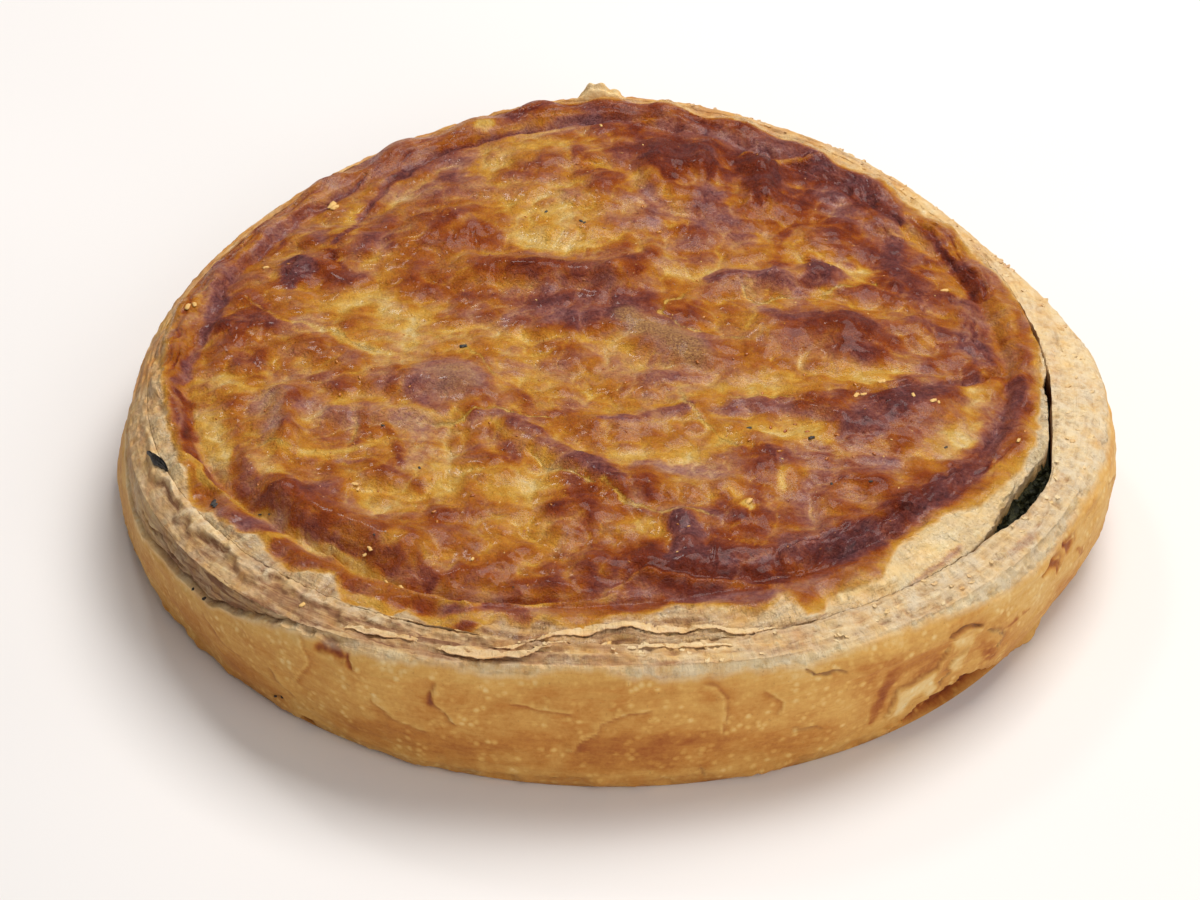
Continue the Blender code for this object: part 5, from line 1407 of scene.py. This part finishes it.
dried_colour = colour_scale(tree, veins, ((0.35, (24, 22, 22)), (0.55, (44, 40, 36)), (0.72, (96, 86, 72))))
cover(tree, shader, dried_colour, (veins, 0.8, 0.0004))
shred = baked_piece("leaf_shred", shred_points, shred_faces, dried, "dried_leaf")
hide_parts("leaf_scrap")


# Crumbs, specks and small blisters: flakes of pastry that fell on the glaze, burnt bits of leaf on lid and
# edge, and pinhead bubbles that rose in the glaze itself.
PALE_CRUMBS = (  # x, y and radius in mm
    (-81, 78, 1.7), (-80.2, 76.3, 1.3), (-98, 45, 0.8), (-64, -66, 0.8), (-63, -67.3, 0.6), (-58, -94, 0.9),
    (-59.2, -94.8, 0.7), (-49, -108, 0.8), (-31, -97, 0.6), (-53, -106, 0.5), (72, -22.6, 1.0),
    (74, -22.4, 0.8), (79.6, -14.2, 1.0), (93, -26, 0.9), (94.6, -25.6, 0.6), (87.6, -24, 0.7),
    (100.6, 38, 1.0), (116, -38, 0.7), (41.5, -71.4, 1.0), (-74, -114, 0.9), (5, -128, 0.9), (-1, 112, 0.6),
    (-118.4, 22, 1.2), (-116.6, 22.6, 0.9),
)
DARK_SPECKS = (  # the same
    (-101.2, -71.6, 1.2), (-100.6, -73, 0.9), (-88.5, -75, 0.5), (-58, -40, 0.5), (-86, -76.5, 0.4),
    (-57, -91, 0.4), (96, -40.5, 0.5), (-47, -59, 0.5), (-16.5, 64.5, 0.6), (-6, 58.6, 0.7), (-5, 57.4, 0.5),
    (-38, -1, 0.9), (42, -39, 0.7), (59, -42, 0.8), (-20, -107, 0.3), (64, -60, 0.5), (74.5, -60, 0.5),
)
WALL_SPECKS = (  # degrees, height and radius in mm
    (221.6, 28.4, 0.6), (223.6, 28.2, 0.7), (224.0, 29.0, 0.5), (233.4, 7.2, 0.7), (234.4, 8.2, 0.6),
)
BUBBLE_SPOTS = (  # x and y
    (48, -37), (52, -38), (58, -38), (66, -40), (46, -22), (28, -9), (42, -4), (-66, -18), (-71, -25),
    (76, -46), (63, -50), (50, -50), (-32, -72), (-42, -79), (-41, -83), (-38, -40), (17, 56), (12, 67),
    (30, 14), (42, -45), (8, -18), (72, -16), (118, -34), (-73, -10), (58, -12),
)
PEBBLE_SIDES, PEBBLE_RINGS, PEBBLE_SEED = 8, 5, 100
CRUMB_SEED = 91
LID_REACH = 112  # mm from the middle


def pebble(spot, size, flatness, seed):
    """Points and faces of a small lumpy crumb."""
    phase = np.random.default_rng(seed).uniform(0, 6.28, 3)
    points = [(0, 0, 1.0)]
    for k in range(1, PEBBLE_RINGS):
        tilt = math.pi * k / PEBBLE_RINGS
        for m in range(PEBBLE_SIDES):
            way = 2 * math.pi * m / PEBBLE_SIDES
            grow = 1 + 0.4 * math.sin(2 * way + phase[0]) + 0.2 * math.sin(3 * way + 4 * tilt + phase[1])
            points.append((grow * math.sin(tilt) * math.cos(way), grow * math.sin(tilt) * math.sin(way),
                           math.cos(tilt)))
    points.append((0, 0, -1.0))
    faces = [(0, 1 + m, 1 + (m + 1) % PEBBLE_SIDES) for m in range(PEBBLE_SIDES)]
    for k in range(PEBBLE_RINGS - 2):
        low = 1 + k * PEBBLE_SIDES
        for m in range(PEBBLE_SIDES):
            after = (m + 1) % PEBBLE_SIDES
            faces.append((low + m, low + PEBBLE_SIDES + m, low + PEBBLE_SIDES + after, low + after))
    last = 1 + (PEBBLE_RINGS - 2) * PEBBLE_SIDES
    faces += [(last + (m + 1) % PEBBLE_SIDES, last + m, len(points) - 1) for m in range(PEBBLE_SIDES)]
    return np.array(points) * (size, size, size * flatness) + spot, faces


def scatter(name, lumps, flatness, material, slot_name, sink):
    """One mesh of small lumps lying on the lid or the edge, or stuck to the wall."""
    made = []
    for number, (a, b, size) in enumerate(lumps):
        if (a, b, size) in WALL_SPECKS:
            out = Vector((math.cos(math.radians(a)), math.sin(math.radians(a)), 0))
            spot = tuple(case_tree.ray_cast(200 * out + Vector((0, 0, b)), -out)[0])
        else:
            spot = (a, b, ground_under(a, b) + size * flatness * sink)
        made.append(pebble(spot, size, flatness, PEBBLE_SEED + number))
    return baked_piece(name, *gather(made), material, slot_name)


def sprinkled(draw, count, reach, smallest, largest):
    """Chance places on the lid, as x, y and radius in mm."""
    found = zip(draw.uniform(-reach, reach, count), draw.uniform(-reach, reach, count),
                draw.uniform(smallest, largest, count))
    return tuple((a, b, size) for a, b, size in found if math.hypot(a, b) < LID_REACH)


draw = np.random.default_rng(CRUMB_SEED)
dust = sprinkled(draw, 60, 100, 0.15, 0.32)
scatter("pale_crumbs", PALE_CRUMBS + dust, 0.4, dough_material("crumb_dough", 0.26, 0.3), "pale_crust", 0.4)
scatter("dark_specks", DARK_SPECKS + WALL_SPECKS, 0.35, dried, "dried_leaf", 0.2)

BUBBLE_SIZE = 0.6
blister, tree, shader = new_material("glaze_blister", {"Roughness": 0.25})
blister_tone = ranged(tree, noise(tree, places(tree), 60, 2), 0.3, 0.7, 0.5, 0.68)
glaze = lay(tree, "ShaderNodeGroup", {"Tone": blister_tone}, node_tree=glaze_tree)
cover(tree, shader, glaze.outputs["Color"])
pinheads = tuple((a, b, BUBBLE_SIZE) for a, b in BUBBLE_SPOTS) + sprinkled(draw, 240, 108, 0.2, 0.45)
scatter("glaze_blisters", pinheads, 0.55, blister, "browned_lid", 0.15)


# Studio: a plain pale floor under soft light from above and a little from the right, and the camera that took
# the picture, 37 degrees above the table.
FLOOR_SIZE = 6.0
SKY_COLOUR, SKY_STRENGTH = (0.98, 0.98, 1.0, 1), 0.27
AIM = Vector((0, 0, 0.03))
LAMPS = (  # place and size in metres, power in watts, and colour
    ("overhead", (0.4, 0.5, 1.4), 0.9, 22.2, (1.0, 0.97, 0.95)),
    ("spark", (-0.45, 0.9, 1.2), 0.2, 2.6, (1.0, 1.0, 1.0)),
    ("front_fill", (0.7, -1.2, 0.9), 1.0, 9.8, (1.0, 0.98, 0.95)),
)
CAMERA_PLACE, CAMERA_TURN = (0.00269, -0.83471, 0.62554), (53.52355, -1.16591, 0.95341)  # metres, degrees
LENS, SENSOR_WIDTH, CLIP_START = 108, 36, 0.05  # mm, mm and metres

bpy.ops.mesh.primitive_plane_add(size=FLOOR_SIZE, location=(0, 0, 0))
floor = bpy.context.object
floor.name = "floor"
floor_paint, tree, shader = new_material("pale_floor", {"Roughness": 0.9})
floor_patches = noise(tree, places(tree), 3, 2)
cover(tree, shader, colour_scale(tree, floor_patches, ((0.3, (226, 223, 220)), (0.7, (234, 231, 228)))))
floor.data.materials.append(floor_paint)

world = bpy.data.worlds.new("studio")
bpy.context.scene.world = world
world.use_nodes = True
sky = world.node_tree.nodes["Background"].inputs
sky["Color"].default_value = SKY_COLOUR
sky["Strength"].default_value = SKY_STRENGTH

for name, spot, size, power, colour in LAMPS:
    data = bpy.data.lights.new(name, "AREA")
    data.size = size
    data.energy = power
    data.color = colour
    lamp = bpy.data.objects.new(name, data)
    lamp.location = spot
    lamp.rotation_mode = "QUATERNION"
    lamp.rotation_quaternion = (AIM - Vector(spot)).to_track_quat("-Z", "Y")
    bpy.context.scene.collection.objects.link(lamp)

camera_data = bpy.data.cameras.new("camera")
camera_data.lens = LENS
camera_data.sensor_width = SENSOR_WIDTH
camera_data.clip_start = CLIP_START
camera = bpy.data.objects.new("camera", camera_data)
camera.location = CAMERA_PLACE
camera.rotation_euler = [math.radians(v) for v in CAMERA_TURN]
bpy.context.scene.collection.objects.link(camera)
bpy.context.scene.camera = camera
bpy.context.scene.view_settings.view_transform = "Standard"
